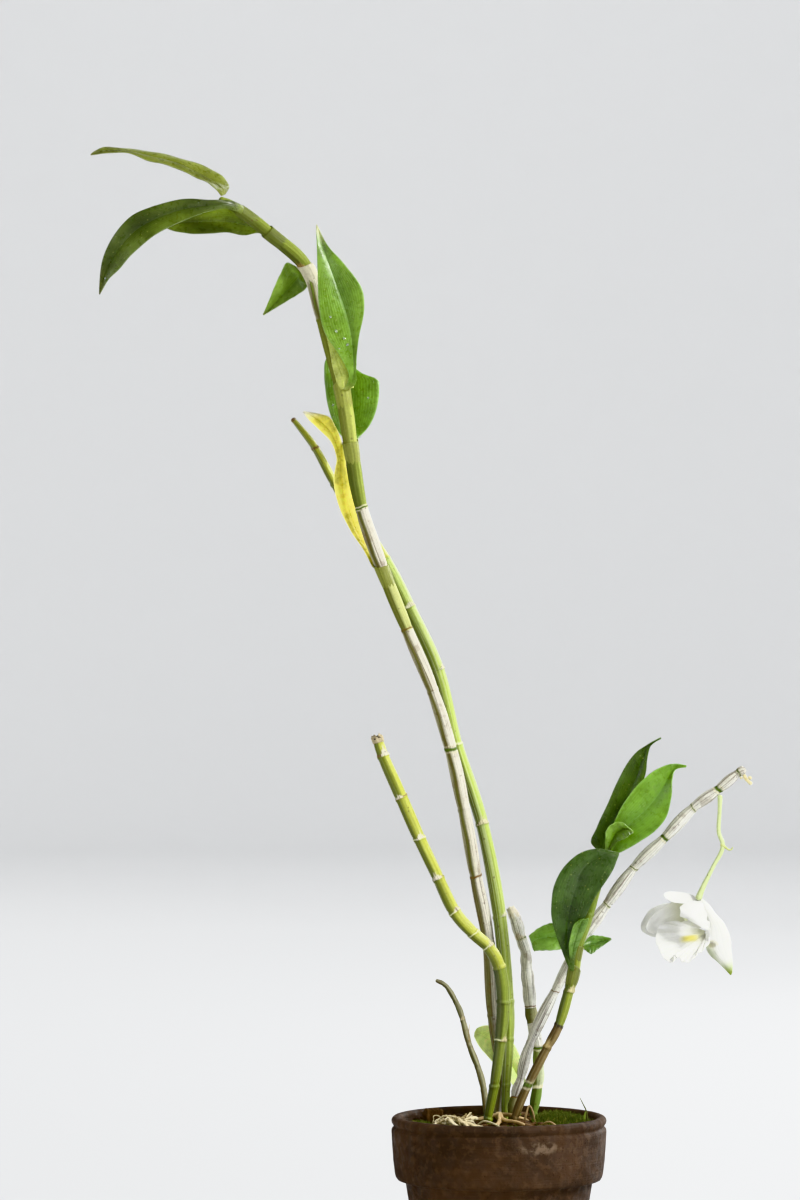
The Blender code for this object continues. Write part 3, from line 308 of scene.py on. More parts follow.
# the light flap at the foot of the shoot's front leaf, in the same form
FRONT_FLAP = (
    (35.2, -11.6, 178, 36.2, -11.4, 177.6, 37.2, -11.2, 178), (34.6, -13.9, 184, 37, -13.2, 184, 39.6, -12.6, 185),
    (35.6, -14.9, 190, 38.6, -14, 190, 42, -13.2, 190.4), (37.2, -15.1, 195, 40.4, -14.4, 195, 44, -13.6, 195.4),
    (40.4, -14.7, 197.6, 42.4, -14.4, 197.8, 44.6, -14, 198))

# each leaf's colours out of 255: deep, light, tip, base, then how bright its two sides are, which is painted light
# on one half and painted shade on the other, and painted light over the whole blade where both are above 1
LEAF_COLOURS = {
    "top_narrow_leaf": ((86, 94, 32), (122, 130, 54), (112, 116, 56), (156, 162, 84), 0.85, 1.1),
    "top_drooping_leaf": ((42, 54, 16), (78, 92, 28), (86, 92, 34), (128, 142, 62), 1.25, 0.85),
    "top_under_leaf": ((70, 82, 26), (102, 118, 38), (104, 118, 46), (118, 132, 50), 0.9, 1.05),
    "small_pointed_leaf": ((84, 110, 34), (118, 146, 52), (136, 150, 76), (110, 130, 50), 0.75, 1.15),
    "bright_folded_leaf": ((84, 118, 30), (112, 146, 44), (206, 206, 150), (166, 178, 88), 1.05, 0.94),
    "broad_back_leaf": ((78, 110, 30), (106, 142, 44), (110, 140, 60), (166, 190, 108), 0.9, 1.05),
    "yellow_leaf": ((228, 214, 76), (248, 238, 112), (246, 242, 214), (206, 196, 76), 1.2, 1.15),
    "shoot_front_leaf": ((38, 56, 16), (60, 86, 26), (78, 102, 44), (98, 126, 54), 1.05, 0.85),
    "shoot_upright_leaf": ((44, 62, 18), (74, 98, 28), (88, 118, 50), (100, 128, 54), 0.9, 1.25),
    "shoot_right_leaf": ((76, 112, 26), (104, 144, 36), (130, 172, 58), (106, 140, 44), 1.05, 0.92),
    "shoot_young_leaf": ((88, 122, 36), (116, 150, 54), (130, 160, 74), (90, 116, 42), 1.1, 0.5),
    "shoot_lower_left_leaf": ((84, 122, 42), (126, 162, 74), (120, 150, 80), (110, 140, 60), 0.9, 1.1),
    "shoot_lower_right_leaf": ((70, 102, 36), (102, 138, 56), (130, 156, 90), (110, 140, 60), 0.9, 1.1),
    "basal_leaf": ((206, 232, 124), (234, 250, 172), (222, 240, 150), (176, 200, 104), 1.15, 1.15),
}

# the flap's colours in the same form, the brightness of its two sides being painted light and shade
FLAP_COLOURS = ((74, 104, 40), (110, 146, 60), (104, 138, 60), (80, 106, 42), 1.1, 0.8)
STALK_NODE = 10
STALK_LEAVES = (0.3, -0.5, -1)
STALK = (
    (110.5, -5, 251, 1.0), (110, -5.5, 241, 1.0), (112, -6, 233, 1.1), (107, -6.5, 223, 1.0),
    (102, -7, 213, 1.3), (100, -7, 208, 1.7))
# the near lateral sepal that runs down into the spur: x, y, z, half depth, width over depth
SPUR = (
    (101.4, -7, 206.3, 1.0, 1.1), (103.2, -7.4, 202.8, 2.1, 1.2), (105.6, -8, 198.4, 2.7, 1.15),
    (108.0, -8.4, 193.6, 3.2, 1.5), (109.3, -8.6, 188.2, 3.5, 1.75), (110.1, -8.4, 183.2, 3.5, 1.82),
    (112.4, -8, 178.4, 3.1, 1.45), (114.3, -7.4, 174.4, 2.4, 1.2), (115.6, -7, 170.9, 1.3, 1.0),
    (115.9, -7, 169.6, 0.6, 1.0))
# the fold at the lip's foot, as x, z and two radii, where the spur is pushed in and painted olive as shade
POCKET = (106.3, 184.4, 2.4, 1.9)
COLUMN = ((98.4, -7, 204, 1.0), (96, -7, 201, 1.5), (93.5, -7.5, 197.5, 1.4))
OLD_STUB = ((122.8, -6.5, 268.9, 0.8), (123.5, -7, 267.5, 0.8), (126, -7, 265, 0.7))
# each petal: rows of points from its foot to its tip, from one margin to the other
PETALS = {
    "dorsal_sepal": (
        (101.5, -8, 205.8, 101.2, -7, 206.4, 101, -6, 206.9), (96.2, -11, 205.2, 96, -7.6, 206.0, 96, -2.8, 209.3),
        (90.6, -12.3, 205.5, 91, -7.6, 206.2, 91, -2.2, 210.2),
        (87.2, -11.2, 205.9, 86.5, -7.6, 207, 85.6, -3, 210.6), (84.2, -9.2, 207, 83.2, -7.8, 208.4, 83, -5.4, 210),
        (82.8, -8.2, 208.6, 82.5, -7.9, 209.1, 82.6, -7.2, 209.6)),
    "near_petal": (
        (100.6, -9.4, 206, 101.2, -9.5, 205.6, 101.8, -9.2, 205.2),
        (93.8, -11.6, 205.7, 98, -13, 204, 102.4, -11.4, 202.4),
        (90.2, -13.4, 203.2, 96.2, -15.8, 200.8, 103.4, -13.6, 198.8),
        (90.4, -14.6, 200.2, 96.6, -17.2, 198.4, 104.2, -14.8, 196.2),
        (92.4, -15.4, 198.1, 98.6, -17.2, 196.0, 104.9, -15.4, 194),
        (97.6, -16, 196.4, 101.2, -16.8, 193.4, 104.8, -15.8, 192.1)),
    "far_petal": (
        (99.5, -5.4, 206.2, 99, -4.6, 205.2, 98.8, -4.2, 204),
        (93.5, -4.2, 206.3, 93.5, -0.5, 202.6, 95.5, -0.8, 197.5),
        (87.2, -3.8, 205.6, 87, 0.8, 200.8, 90, 1.2, 194.5), (80.6, -3, 201.8, 81.4, 1.4, 197, 84.5, 1, 191.8),
        (75.7, -2.4, 197.2, 77.4, 1, 193.6, 80, 0.6, 190.2),
        (73.8, -1.8, 193, 74.9, -0.2, 190.4, 77.4, -0.6, 189.4)),
    "far_sepal": (
        (103.8, -1.6, 198.4, 104, -1.6, 196.4, 104, -1.8, 194.2), (96, 2.8, 202, 96, 4, 196, 96.5, 2.6, 189.6),
        (88.5, 4.6, 204.4, 87.5, 5.6, 195.5, 88, 4.2, 187.6), (81.9, 5, 203.9, 80.2, 6.2, 195, 82, 4.8, 187.2),
        (75.7, 4.6, 200.6, 74.6, 5.4, 194.5, 76.8, 4.4, 187.8), (71.8, 4, 194.8, 71.5, 4.2, 192.2, 72.2, 4, 190.2)),
}
LIP_THROAT = (104.5, -8, 190.7)
LIP_MARGIN = (
    (90, -1.5, 195.8), (84, -1.5, 195.4), (80.6, -3.5, 193.6), (79, -6.5, 190.6), (78.4, -9, 187.2),
    (79.4, -11.5, 183.7), (80.6, -13, 180.8), (82, -14.2, 178.6), (83.8, -15.2, 177.2), (85.8, -16, 178),
    (87.6, -16.4, 179.6), (89.2, -17, 178.6), (90.8, -17.6, 177.5), (93, -18, 177.1), (95.2, -17.8, 177.8),
    (97.6, -17.2, 179.4), (99.6, -16.4, 181.2), (101.6, -15.2, 182.6), (103.6, -13.4, 185), (104.8, -11.5, 188))

DRAIN_RING = 18
DRAIN_RADIUS = 3.5
MOSS_CENTRE = (31, 0)
MOSS_RADII = (14, 17)
MOSS_HEIGHT = 4.5
# the thin patches of moss round the cushion: x, y, reach, and how few shoots each has beside the cushion
MOSS_TUFTS = (
    (-37, -17, 5), (-30, -29, 4), (6, -30, 7), (-2, 30, 6), (24, -26, 7), (-40, 2, 4), (15, -35, 7), (33, -23, 5))
TUFT_SHARE = 14
CHIP_SEED, MOSS_SEED, ROOT_SEED = 17, 23, 5
BARK_CENTRE = (-33, 14)
BARK_HALF_SIZE = (5, 3)
BARK_HEIGHT = 6.5
BARK_TURN = math.radians(25)
ROOT_KNOT = (-21, -18)
RHIZOME_KNOT = (0, 2.5)
RHIZOME_ROOTS = (
    ((-10, 2.2), (-19, 6)), ((1, -9), (-2, -17)), ((9, 3), (14.5, 5)), ((2, -10), (12, -17)))
REST_GAP = 0.7
# thin stray strands: colour, then rows of x, y, z, radius
STRANDS = (
    ((158, 136, 98), ((12, -4, 92.5, 0.5), (13.5, -6, 99, 0.55), (15, -6, 103.5, 0.5), (17, -5.5, 100, 0.45),
                      (18.5, -5, 92.5, 0.4))),
    ((92, 98, 52), ((44.5, -8, 94, 0.35), (43.6, -8.4, 101, 0.4), (42, -8.8, 104.5, 0.3), (40.4, -9, 107.8, 0.15))),
    ((150, 172, 78), ((42.5, -5, 94, 0.4), (42.8, -5.4, 98, 0.45), (43.2, -6, 100.4, 0.2))),
    ((188, 164, 116), ((-14.6, 11, 132, 0.3), (-15, 8.6, 138, 0.2), (-14.6, 8, 143, 0.12))),
    ((112, 132, 52), ((-96.2, 0.2, 521, 0.4), (-93.6, -1.4, 513, 0.45), (-92, -2, 503, 0.2))),
    ((196, 186, 150), ((-12, -16, 94, 0.5), (-8, -22, 97.5, 0.5), (-2, -25, 96, 0.45), (3, -27, 93, 0.4))),
    ((176, 152, 108), ((20, -14, 93.5, 0.5), (24, -20, 97, 0.5), (28, -24, 95.5, 0.45), (31, -27, 93, 0.4))))

# the stage, in metres but for the wall's radius: soft square lights as name, spot, power, size, aim
WALL = 6200
LENS = 149.3
CAMERA_SPOT = (-0.0497, -2.5, 0.357)
PLANT_MIDDLE = (0, 0, 0.3)
LIGHTS = (
    ("key", (1.6, -1.0, 1.6), 74, 0.55, PLANT_MIDDLE), ("fill", (-1.9, -1.7, 0.9), 14, 1.6, PLANT_MIDDLE),
    ("rim", (1.4, 1.5, 1.1), 36, 0.9, PLANT_MIDDLE)) + tuple(
    (name + "_wash", (2.4 * x, 2.4 * y, 3.4), 120, 2.4, (6 * x, 6 * y, 0.6))
    for name, x, y in (("back", 0, 1), ("left", -1, 0), ("front", 0, -1), ("right", 1, 0)))


def unit(vectors):
    """Each vector over its own length."""
    return vectors / np.maximum(np.linalg.norm(vectors, axis=-1, keepdims=True), 1e-9)


def ease(value, low, high):
    """0 below low, 1 above high, and between them 3 s squared less 2 s cubed of the share s."""
    share = np.clip((value - low) / (high - low), 0, 1)
    return share * share * (3 - 2 * share)


def tone(colour):
    """A colour out of 255 as screens show it, as linear light."""
    share = np.asarray(colour, float) / 255
    return np.where(share <= 0.04045, share / 12.92, ((share + 0.055) / 1.055) ** 2.4)


def along_rows(rows, places):
    """Points on the Catmull-Rom curve through the rows; whole places fall on the rows themselves."""
    rows = np.asarray(rows, float)
    last = len(rows) - 1
    k = np.clip(places.astype(int), 0, last - 1)
    t = (places - k)[:, None]
    before = rows[np.maximum(k - 1, 0)]
    here = rows[k]
    after = rows[k + 1]
    beyond = rows[np.minimum(k + 2, last)]
    bend = (2 * before - 5 * here + 4 * after - beyond) * t ** 2
    twist = (3 * here - before - 3 * after + beyond) * t ** 3
    return (2 * here + (after - before) * t + bend + twist) / 2


def frame_along(centre, reference):
    """The run of a path, a side square to it and to the reference, and a third way square to both."""
    run = unit(np.gradient(centre, axis=0))
    side = unit(np.cross(run, np.asarray(reference, float)))
    return run, side, np.cross(run, side)


def circle(count):
    """So many angles, evenly round a circle."""
    return np.linspace(0, 2 * math.pi, count, endpoint=False)


def way_along(centre):
    """How far along a path each of its points is."""
    return np.concatenate([[0], np.cumsum(np.linalg.norm(np.diff(centre, axis=0), axis=1))])


def blend(first, second, share):
    """The first colour times 1 less the share at each point, and the second times the share."""
    share = share[..., None]
    return first * (1 - share) + second * share


def fours(grid):
    """The four corners of every square of a grid, in order round it."""
    return np.stack([grid[:-1, :-1], grid[:-1, 1:], grid[1:, 1:], grid[1:, :-1]], 2)


def patch(points, wrap=False, caps=(False, False), fields=None):
    """A grid of points as quads. wrap joins the last column to the first, and each cap closes an end with
    a fan to the middle of its ring. Fields are values that every point carries."""
    rows, columns = points.shape[:2]
    index = np.arange(rows * columns).reshape(rows, columns)
    if wrap:
        index = np.concatenate([index, index[:, :1]], axis=1)
    place = np.stack(np.meshgrid(np.linspace(0, 1, index.shape[1]), np.linspace(0, 1, rows)), -1)
    verts = points.reshape(-1, 3)
    faces = [(fours(index).reshape(-1, 4), fours(place).reshape(-1, 2))]
    values = {key: np.asarray(field, float).reshape(rows * columns, -1) for key, field in (fields or {}).items()}
    later, earlier = slice(1, None), slice(None, -1)
    for capped, row, first, second in ((caps[0], 0, later, earlier), (caps[1], rows - 1, earlier, later)):
        if not capped:
            continue
        ring = index[row]
        fan = np.stack([ring[first], ring[second], np.full(len(ring) - 1, len(verts))], -1)
        spots = np.full((len(fan), 3, 2), place[row, 0, 1])
        spots[:, 0, 0], spots[:, 1, 0], spots[:, 2, 0] = place[row, first, 0], place[row, second, 0], 0.5
        faces.append((fan, spots.reshape(-1, 2)))
        verts = np.vstack([verts, points[row].mean(axis=0)])
        values = {key: np.vstack([value, value[ring[:columns]].mean(axis=0)]) for key, value in values.items()}
    return {"verts": verts, "faces": faces, "values": values}


def closed(points, fields=None):
    """A patch that is joined round and capped at both ends."""
    return patch(points, True, (True, True), fields)


def make_piece(name, patches, finish, nodes=(), wall=0.0):
    """One object from patches: its mesh in metres, its own UV map, its fields as attributes, and its
    material. It rides on the plant's one body, and a wall turns a sheet into a closed shell."""
    faces, corners, start = [], [], 0
    for part in patches:
        for group, spots in part["faces"]:
            faces += (group + start).tolist()
            corners.append(spots)
        start += len(part["verts"])
    mesh = bpy.data.meshes.new(name)
    mesh.from_pydata((np.vstack([part["verts"] for part in patches]) * MM).tolist(), [], faces)
    mesh.uv_layers.new(name="UVMap").uv.foreach_set("vector", np.vstack(corners).ravel())
    for key in patches[0]["values"]:
        value = np.vstack([part["values"][key] for part in patches])
        kind, label = ("FLOAT", "value") if value.shape[1] == 1 else ("FLOAT_VECTOR", "vector")
        if key == "skin":
            kind, label, value = "FLOAT_COLOR", "color", np.column_stack([value, np.ones(len(value))])
        mesh.attributes.new(key, kind, "POINT").data.foreach_set(label, value.ravel())
    mesh.materials.append(finish)
    mesh.shade_smooth()
    mesh.update()
    piece = bpy.data.objects.new(name, mesh)
    bpy.context.scene.collection.objects.link(piece)
    if wall:
        shell = piece.modifiers.new("wall", "SOLIDIFY")
        shell.thickness, shell.offset, shell.use_rim = wall * MM, 0, True
    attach(piece, BODY)
    if nodes:
        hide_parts(*nodes)
    return piece


def tube_patch(rows, sides, reference, colour, per_span=6, lumps=0.0):
    """A stem through rows of x, y, z, radius. Each ring is the curve's point plus radius times the cosine
    of the angle along one side and its sine along the other; both ends are rounded off."""
    rows = np.asarray(rows, float)
    places = np.linspace(0, len(rows) - 1, per_span * (len(rows) - 1) + 1)
    line = along_rows(rows, places)
    centre, radius = line[:, :3], np.maximum(line[:, 3], 0.12)
    run, side, up = frame_along(centre, reference)
    centre, radius, run, side, up = round_ends(centre, radius, run, side, up, (0.8, 0.8))
    angle = circle(sides)
    length = way_along(centre)
    up_it = length[:, None]
    swell = radius[:, None] * (1 + lumps * np.sin(3 * angle + up_it * 1.3) * np.sin(up_it * 0.9 + angle))
    if rows.shape[1] == 5:
        side = side * np.pad(line[:, 4], (4, 4), mode="edge")[:, None]
    points = centre[:, None] + swell[..., None] * around(side, up, angle)
    fields = {"skin": np.broadcast_to(tone(colour), points.shape),
              "fibre": fibre_field(angle, length, radius.max()), "paper": np.zeros(points.shape[:2])}
    return closed(points, fields)


def around(side, up, angle):
    """The outward way at each angle round each ring."""
    return np.cos(angle)[None, :, None] * side[:, None] + np.sin(angle)[None, :, None] * up[:, None]


def fibre_field(angle, length, radius):
    """Seamless coordinates for long fibres, in metres: round the stem as a circle, and along it."""
    circle = np.stack([np.cos(angle), np.sin(angle)], -1) * radius
    grid = np.zeros((len(length), len(angle), 3))
    grid[..., :2] = circle[None]
    grid[..., 2] = length[:, None]
    return grid * MM


def round_ends(centre, radius, run, side, up, blunt):
    """Adds rings beyond both ends whose radius falls as a cosine while they move out as a sine."""
    angle = np.radians([25, 50, 70, 84])
    parts = []
    for end, sign in ((0, -1), (-1, 1)):
        reach = radius[end] * blunt[0 if end == 0 else 1]
        more_centre = centre[end] + sign * run[end] * (reach * np.sin(angle))[:, None]
        more_radius = radius[end] * np.cos(angle)
        order = slice(None, None, -1) if end == 0 else slice(None)
        parts.append((more_centre[order], more_radius[order]))
    repeat = len(angle)
    stretch = [np.concatenate([np.repeat(way[:1], repeat, 0), way, np.repeat(way[-1:], repeat, 0)])
               for way in (run, side, up)]
    return (np.concatenate([parts[0][0], centre, parts[1][0]]),
            np.concatenate([parts[0][1], radius, parts[1][1]]), *stretch)


def cane_stations(rows):
    """Where a cane's rings stand: close together at each node and about 2.2 mm apart between. Gives each
    ring's place, its stretch between nodes, and its distance up from the node below and down from the next."""
    places, spans, rises, drops = [], [], [], []
    near = np.array([0, 0.25, 0.5, 0.8, 1.2, 1.8, 2.6])
    for k in range(len(rows) - 1):
        length = np.linalg.norm(rows[k + 1, :3] - rows[k, :3])
        close = near[near < 0.35 * length]
        count = max(int((length - 2 * close[-1]) / 2.2), 1)
        middle = np.linspace(close[-1], length - close[-1], count + 2)[1:-1]
        rise = np.concatenate([close, middle, (length - close[1:])[::-1]])
        places.append(k + rise / length)
        spans.append(np.full(len(rise), k))
        rises.append(rise)
        drops.append(length - rise)
    places.append([len(rows) - 1])
    spans.append([len(rows) - 2])
    rises.append([length])
    drops.append([0.0])
    return tuple(np.concatenate(part) for part in (places, spans, rises, drops))


def cane_patch(name, sides):
    """A cane. Its radius runs straight from node to node, with a swelling that is a half sine between
    them, a ridge that is a bell curve at each node, a dip just above it, and shallow ribs round it."""
    swelling, ridge, nodes = CANES[name]
    ribs, rib_depth, blunt, skins, rings = CANE_LOOKS[name][1:]
    foot = (nodes[0][0], nodes[0][1], nodes[0][2] - FOOT_DEPTH, nodes[0][3])
    rows = np.array((foot,) + nodes, float)
    place, span, rise, drop = cane_stations(rows)
    span = span.astype(int)
    t = place - span
    centre = along_rows(rows, place)[:, :3]
    radius = rows[span, 3] * (1 - t) + rows[span + 1, 3] * t + np.where(span > 0, swelling * np.sin(math.pi * t), 0)
    run, side, up = frame_along(centre, (0, 1, 0))
    rings_added = 4
    centre, radius, run, side, up = round_ends(centre, radius, run, side, up, (0.1, blunt))
    extend = [np.concatenate([np.repeat(value[:1], rings_added), value, np.repeat(value[-1:], rings_added)])
              for value in (span, rise, drop)]
    span, rise, drop = extend[0].astype(int)[:, None], extend[1][:, None], extend[2][:, None]
    angle = circle(sides)[None]
    lean = 0.45 * np.sin(angle + 2.1 * span) + 0.12 * np.sin(5 * angle + span)
    next_lean = 0.45 * np.sin(angle + 2.1 * (span + 1)) + 0.12 * np.sin(5 * angle + span + 1)
    above = rise - lean
    below = drop + next_lean
    near = np.minimum(np.abs(above), np.abs(below))
    length = way_along(centre)
    away = 1 - np.exp(-(near / 2.2) ** 2)
    profile = radius[:, None] + ridge * np.exp(-(near / 0.9) ** 2)
    profile = profile - 0.5 * ridge * np.exp(-((above - 1.5) / 0.5) ** 2)
    profile += rib_depth * np.cos(ribs * angle + 1.7 * span + 0.5 * np.sin(length[:, None] * 0.12)) * away
    profile += 0.05 * np.sin(2 * angle + length[:, None] * 0.11)
    outward = around(side, up, angle[0])
    skin, paper, rims = cane_skin(skins, rings, span, above, below, outward[..., 0], angle)
    profile += 0.25 * rims
    for cane, node, turn, half, height, colour in REMNANTS:
        if cane == name:
            toward = np.degrees(np.arctan2(outward[..., 1], outward[..., 0]))
            apart = np.abs((toward - turn + 180) % 360 - 180)
            reach = height * (1 - (apart / half) ** 1.5 - 0.12 * np.sin(apart * 0.6))
            mask = ease(reach - above, 0.0, 0.4) * ease(above, -0.6, -0.1)
            mask = np.where(span == node + 1, mask, 0.0) * (apart < half)
            skin = blend(skin, tone(colour), mask)
            paper = np.maximum(paper, mask)
            profile = profile + 0.22 * mask
    points = centre[:, None] + np.maximum(profile, 0.1)[..., None] * outward
    fields = {"skin": skin, "paper": paper, "fibre": fibre_field(angle[0], length, radius.max())}
    return closed(points, fields)


def cane_skin(skins, rings, span, above, below, facing, angle):
    """The colour of each point of a cane: left to right over each stretch, its left side painted shade and its
    right side painted light, an olive band of painted shade left of its middle, then a bell curve of ring colour at
    each node, with how papery the skin is."""
    left, right = (np.array([tone(SKINS[skin][side]) for skin in skins]) for side in (0, 1))
    papery, banded = (np.array([SKINS[skin][part] for skin in skins]) for part in (2, 3))
    # painted light and shade: points facing right take the lit colour, points facing left the shaded one
    share = ease(facing + 0.18 * np.sin(3 * angle + 2.3 * span), -0.45, 0.45)
    span = np.broadcast_to(span, share.shape)
    skin = blend(left[span], right[span], share)
    paper = papery[span].copy()
    # painted shade: an olive band on the left side, where the cane turns from the light
    band = banded[span] * np.exp(-((facing + 0.42 + 0.08 * np.sin(above / 4)) / 0.3) ** 4)
    skin = blend(skin, tone(SHADE_BAND_OLIVE), band)
    edge = np.exp(-((above - 0.2) / 0.22) ** 2) + np.exp(-((below - 0.5) / 0.22) ** 2)
    skin *= (1 - 0.22 * np.clip(edge, 0, 1))[..., None]
    rims = np.zeros(share.shape)
    for node, colour, half in rings:
        distance = np.where(span == node + 1, above - 0.3, np.where(span == node, -below - 0.3, 99.0))
        mask = np.exp(-(distance / half) ** 4)
        skin = blend(skin, tone(RINGS[colour]), mask)
        paper = paper * (1 - mask)
        if colour == "ring green":
            rim = 0.8 * np.exp(-((np.abs(distance) - 1.45 * half) / (0.3 * half + 0.1)) ** 2)
            skin = blend(skin, tone(RINGS["ring cream"]), rim)
            rims = np.maximum(rims, rim)
    return skin, paper, rims


def node_seat(cane, node, leaves):
    """The point just clear of a cane's skin at one of its nodes, on the side that a leaf leaves."""
    ridge, nodes = CANES[cane][1:]
    x, y, z, radius = nodes[node]
    if node == len(nodes) - 1:
        ridge = 0
    return np.array((x, y, z)) + unit(np.asarray(leaves, float)) * (radius + ridge + SEAT_GAP)


def sheath_patch(cane, node, leaves, below, above, colour, ragged=0.0):
    """The sheath that holds a leaf to its cane: a tube just outside the cane's skin, whose upper edge
    rises as a raised cosine on the side where the leaf leaves, and leans out there. A dry one is torn:
    its edge also goes up and down by three sines of the angle."""
    ridge, nodes = CANES[cane][1:]
    rows = np.array(nodes, float)
    length = np.linalg.norm(rows[node, :3] - rows[node - 1, :3])
    steps = np.linspace(-below, 0.6, 16)
    line = along_rows(rows, np.minimum(node + steps / length, len(rows) - 1))
    run, side, up = frame_along(line[:, :3], (0, 1, 0))
    angle = circle(36)
    outward = around(side, up, angle)
    way = unit(np.asarray(leaves, float))
    toward = 0.5 + 0.5 * np.clip((outward * way).sum(-1), -1, 1)
    share = np.linspace(0, 1, 16)[:, None]
    radius = line[:, 3][:, None] + ridge + 0.22 + 0.5 * toward ** 2 * share ** 3 + 0.05 * np.sin(6 * angle)[None]
    radius -= 0.45 * (1 - share) ** 4
    lift = above * toward ** 2 * share ** 2
    torn = np.sin(5 * angle) + 0.8 * np.sin(9 * angle + 1) + 0.6 * np.sin(14 * angle)
    lift = lift + ragged * torn[None] * share ** 3
    points = line[:, None, :3] + radius[..., None] * outward + lift[..., None] * run[:, None]
    steps_long = np.linspace(0, below + above, 16)
    skin = np.broadcast_to(tone(colour), points.shape) * (0.82 + 0.18 * toward)[..., None]
    fields = {"skin": skin, "paper": np.full(points.shape[:2], 0.2),
              "fibre": fibre_field(angle, steps_long, line[:, 3].max())}
    return patch(points, wrap=True, fields=fields)


def folded_grid(rows, along=72, across=28, arch=0.5, ripple=0.22):
    """A blade from three lines, one margin, the crease and the other margin, each a Catmull-Rom curve. A
    point is the crease plus the way to a margin times a smooth hinge of its share across; it then moves
    along the blade's face by a low arch on each half, a fine ripple at the margins, and a groove."""
    rows = np.asarray(rows, float)
    line = along_rows(rows, np.linspace(0, len(rows) - 1, along)).reshape(along, 3, 3)
    u = np.linspace(0, 1, along)[:, None]
    v = np.linspace(-1, 1, across + 1)[None]
    onward = ((v + np.sqrt(v ** 2 + 0.02)) / 2)[..., None]
    back = onward - v[..., None]
    crease = line[:, 1][:, None]
    points = crease + (line[:, 2][:, None] - crease) * onward + (line[:, 0][:, None] - crease) * back
    face = unit(np.cross(np.gradient(points, axis=1), np.gradient(points, axis=0)))
    face *= -np.sign(face[..., 1].mean())
    width = np.linalg.norm(line[:, 2] - line[:, 0], axis=1)[:, None]
    size = width / width.max()
    lift = arch * np.sin(math.pi * np.abs(v)) * size - CREASE_DEPTH * np.exp(-(v / 0.07) ** 2) * size
    lift = lift + ripple * np.abs(v) ** 3 * size * (np.sin(u * 41 + 3 * v) + 0.6 * np.sin(u * 17 + 2 * v))
    return points + face * lift[..., None], np.broadcast_to(u, lift.shape), np.broadcast_to(v, lift.shape)


def net_grid(rows, along=56, across=40):
    """A sheet through a small net of points, with Catmull-Rom curves through its lines both ways."""
    rows = np.asarray(rows, float)
    count = rows.shape[1] // 3
    lines = along_rows(rows, np.linspace(0, len(rows) - 1, along))
    lines = lines.reshape(along, count, 3).transpose(1, 0, 2).reshape(count, -1)
    sheet = along_rows(lines, np.linspace(0, count - 1, across))
    return sheet.reshape(across, along, 3).transpose(1, 0, 2)


def lip_grid(along=56, across=260):
    """The lip: straight ways from the throat to every place on its margin, which sag away from the front
    as a half sine. Along its face it then moves by pleats that grow as a power of the way out, by fine
    ridges, and its last part rolls back as a square."""
    margin = along_rows(np.array(LIP_MARGIN, float), np.linspace(0, len(LIP_MARGIN) - 1, across))[None]
    s = np.linspace(0.06, 1, along)[:, None]
    t = np.linspace(0, 1, across)[None]
    points = np.array(LIP_THROAT) * (1 - s[..., None]) + margin * s[..., None]
    sag = np.sin(math.pi * s ** 0.9) * np.sin(math.pi * t) ** 0.6
    points = points + sag[..., None] * np.array((0.2, 3.0, -0.6))
    face = unit(np.cross(np.gradient(points, axis=1), np.gradient(points, axis=0)))
    face *= np.sign((face * (-0.2, -1, 0.3)).sum(-1).mean())
    pleat = 0.85 * s ** 3 * np.sin(68 * t + 2.2 * np.sin(9 * t)) * (0.65 + 0.35 * np.sin(14 * t + 1))
    pleat = pleat + 0.5 * s ** 1.5 * np.sin(25 * t)
    ridge = 0.09 * s * np.sin(240 * t + 1.5 * np.sin(20 * t))
    roll = -1.3 * ease(s, 0.72, 1.15) ** 2
    points = points + face * ((pleat + ridge + roll) * np.sin(math.pi * t) ** 0.3)[..., None]
    return points, np.broadcast_to(s, sag.shape)


def leaf_skin(u, v, colours):
    """A leaf's colour: deep to light from the crease out, with painted light on one side of it and painted shade on
    the other, fading to its base and tip colours at its ends, with dull patches as products of sines."""
    deep, light, tip, base = (tone(colour) for colour in colours[:4])
    share = 0.35 + 0.4 * np.abs(v) + 0.2 * np.sin(u * 7 + v * 2) * np.sin(u * 13 - 3 * v)
    # painted light and shade: each half of the blade is made brighter or darker by its own factor
    side = (colours[4] + (colours[5] - colours[4]) * ease(v, -0.12, 0.12))[..., None]
    skin = blend(blend(deep, light, share) * side, tip, ease(u, 0.88, 1.0))
    return blend(skin, base, 1 - ease(u, 0.0, 0.14))


def bead_patch(centre, face, radius, flat=0.55):
    """A drop or bead: a ball flattened along one way, whose rings fall as a cosine while they rise as a
    sine."""
    face = unit(np.asarray(face, float))
    side = unit(np.cross(face, (0.2, 0.3, 1.0)))
    up = np.cross(face, side)
    latitude = np.radians(np.linspace(-84, 84, 9))[:, None, None]
    angle = circle(14)[None, :, None]
    ring = np.cos(latitude) * (np.cos(angle) * side + np.sin(angle) * up)
    return np.asarray(centre, float) + radius * (ring + flat * np.sin(latitude) * face)


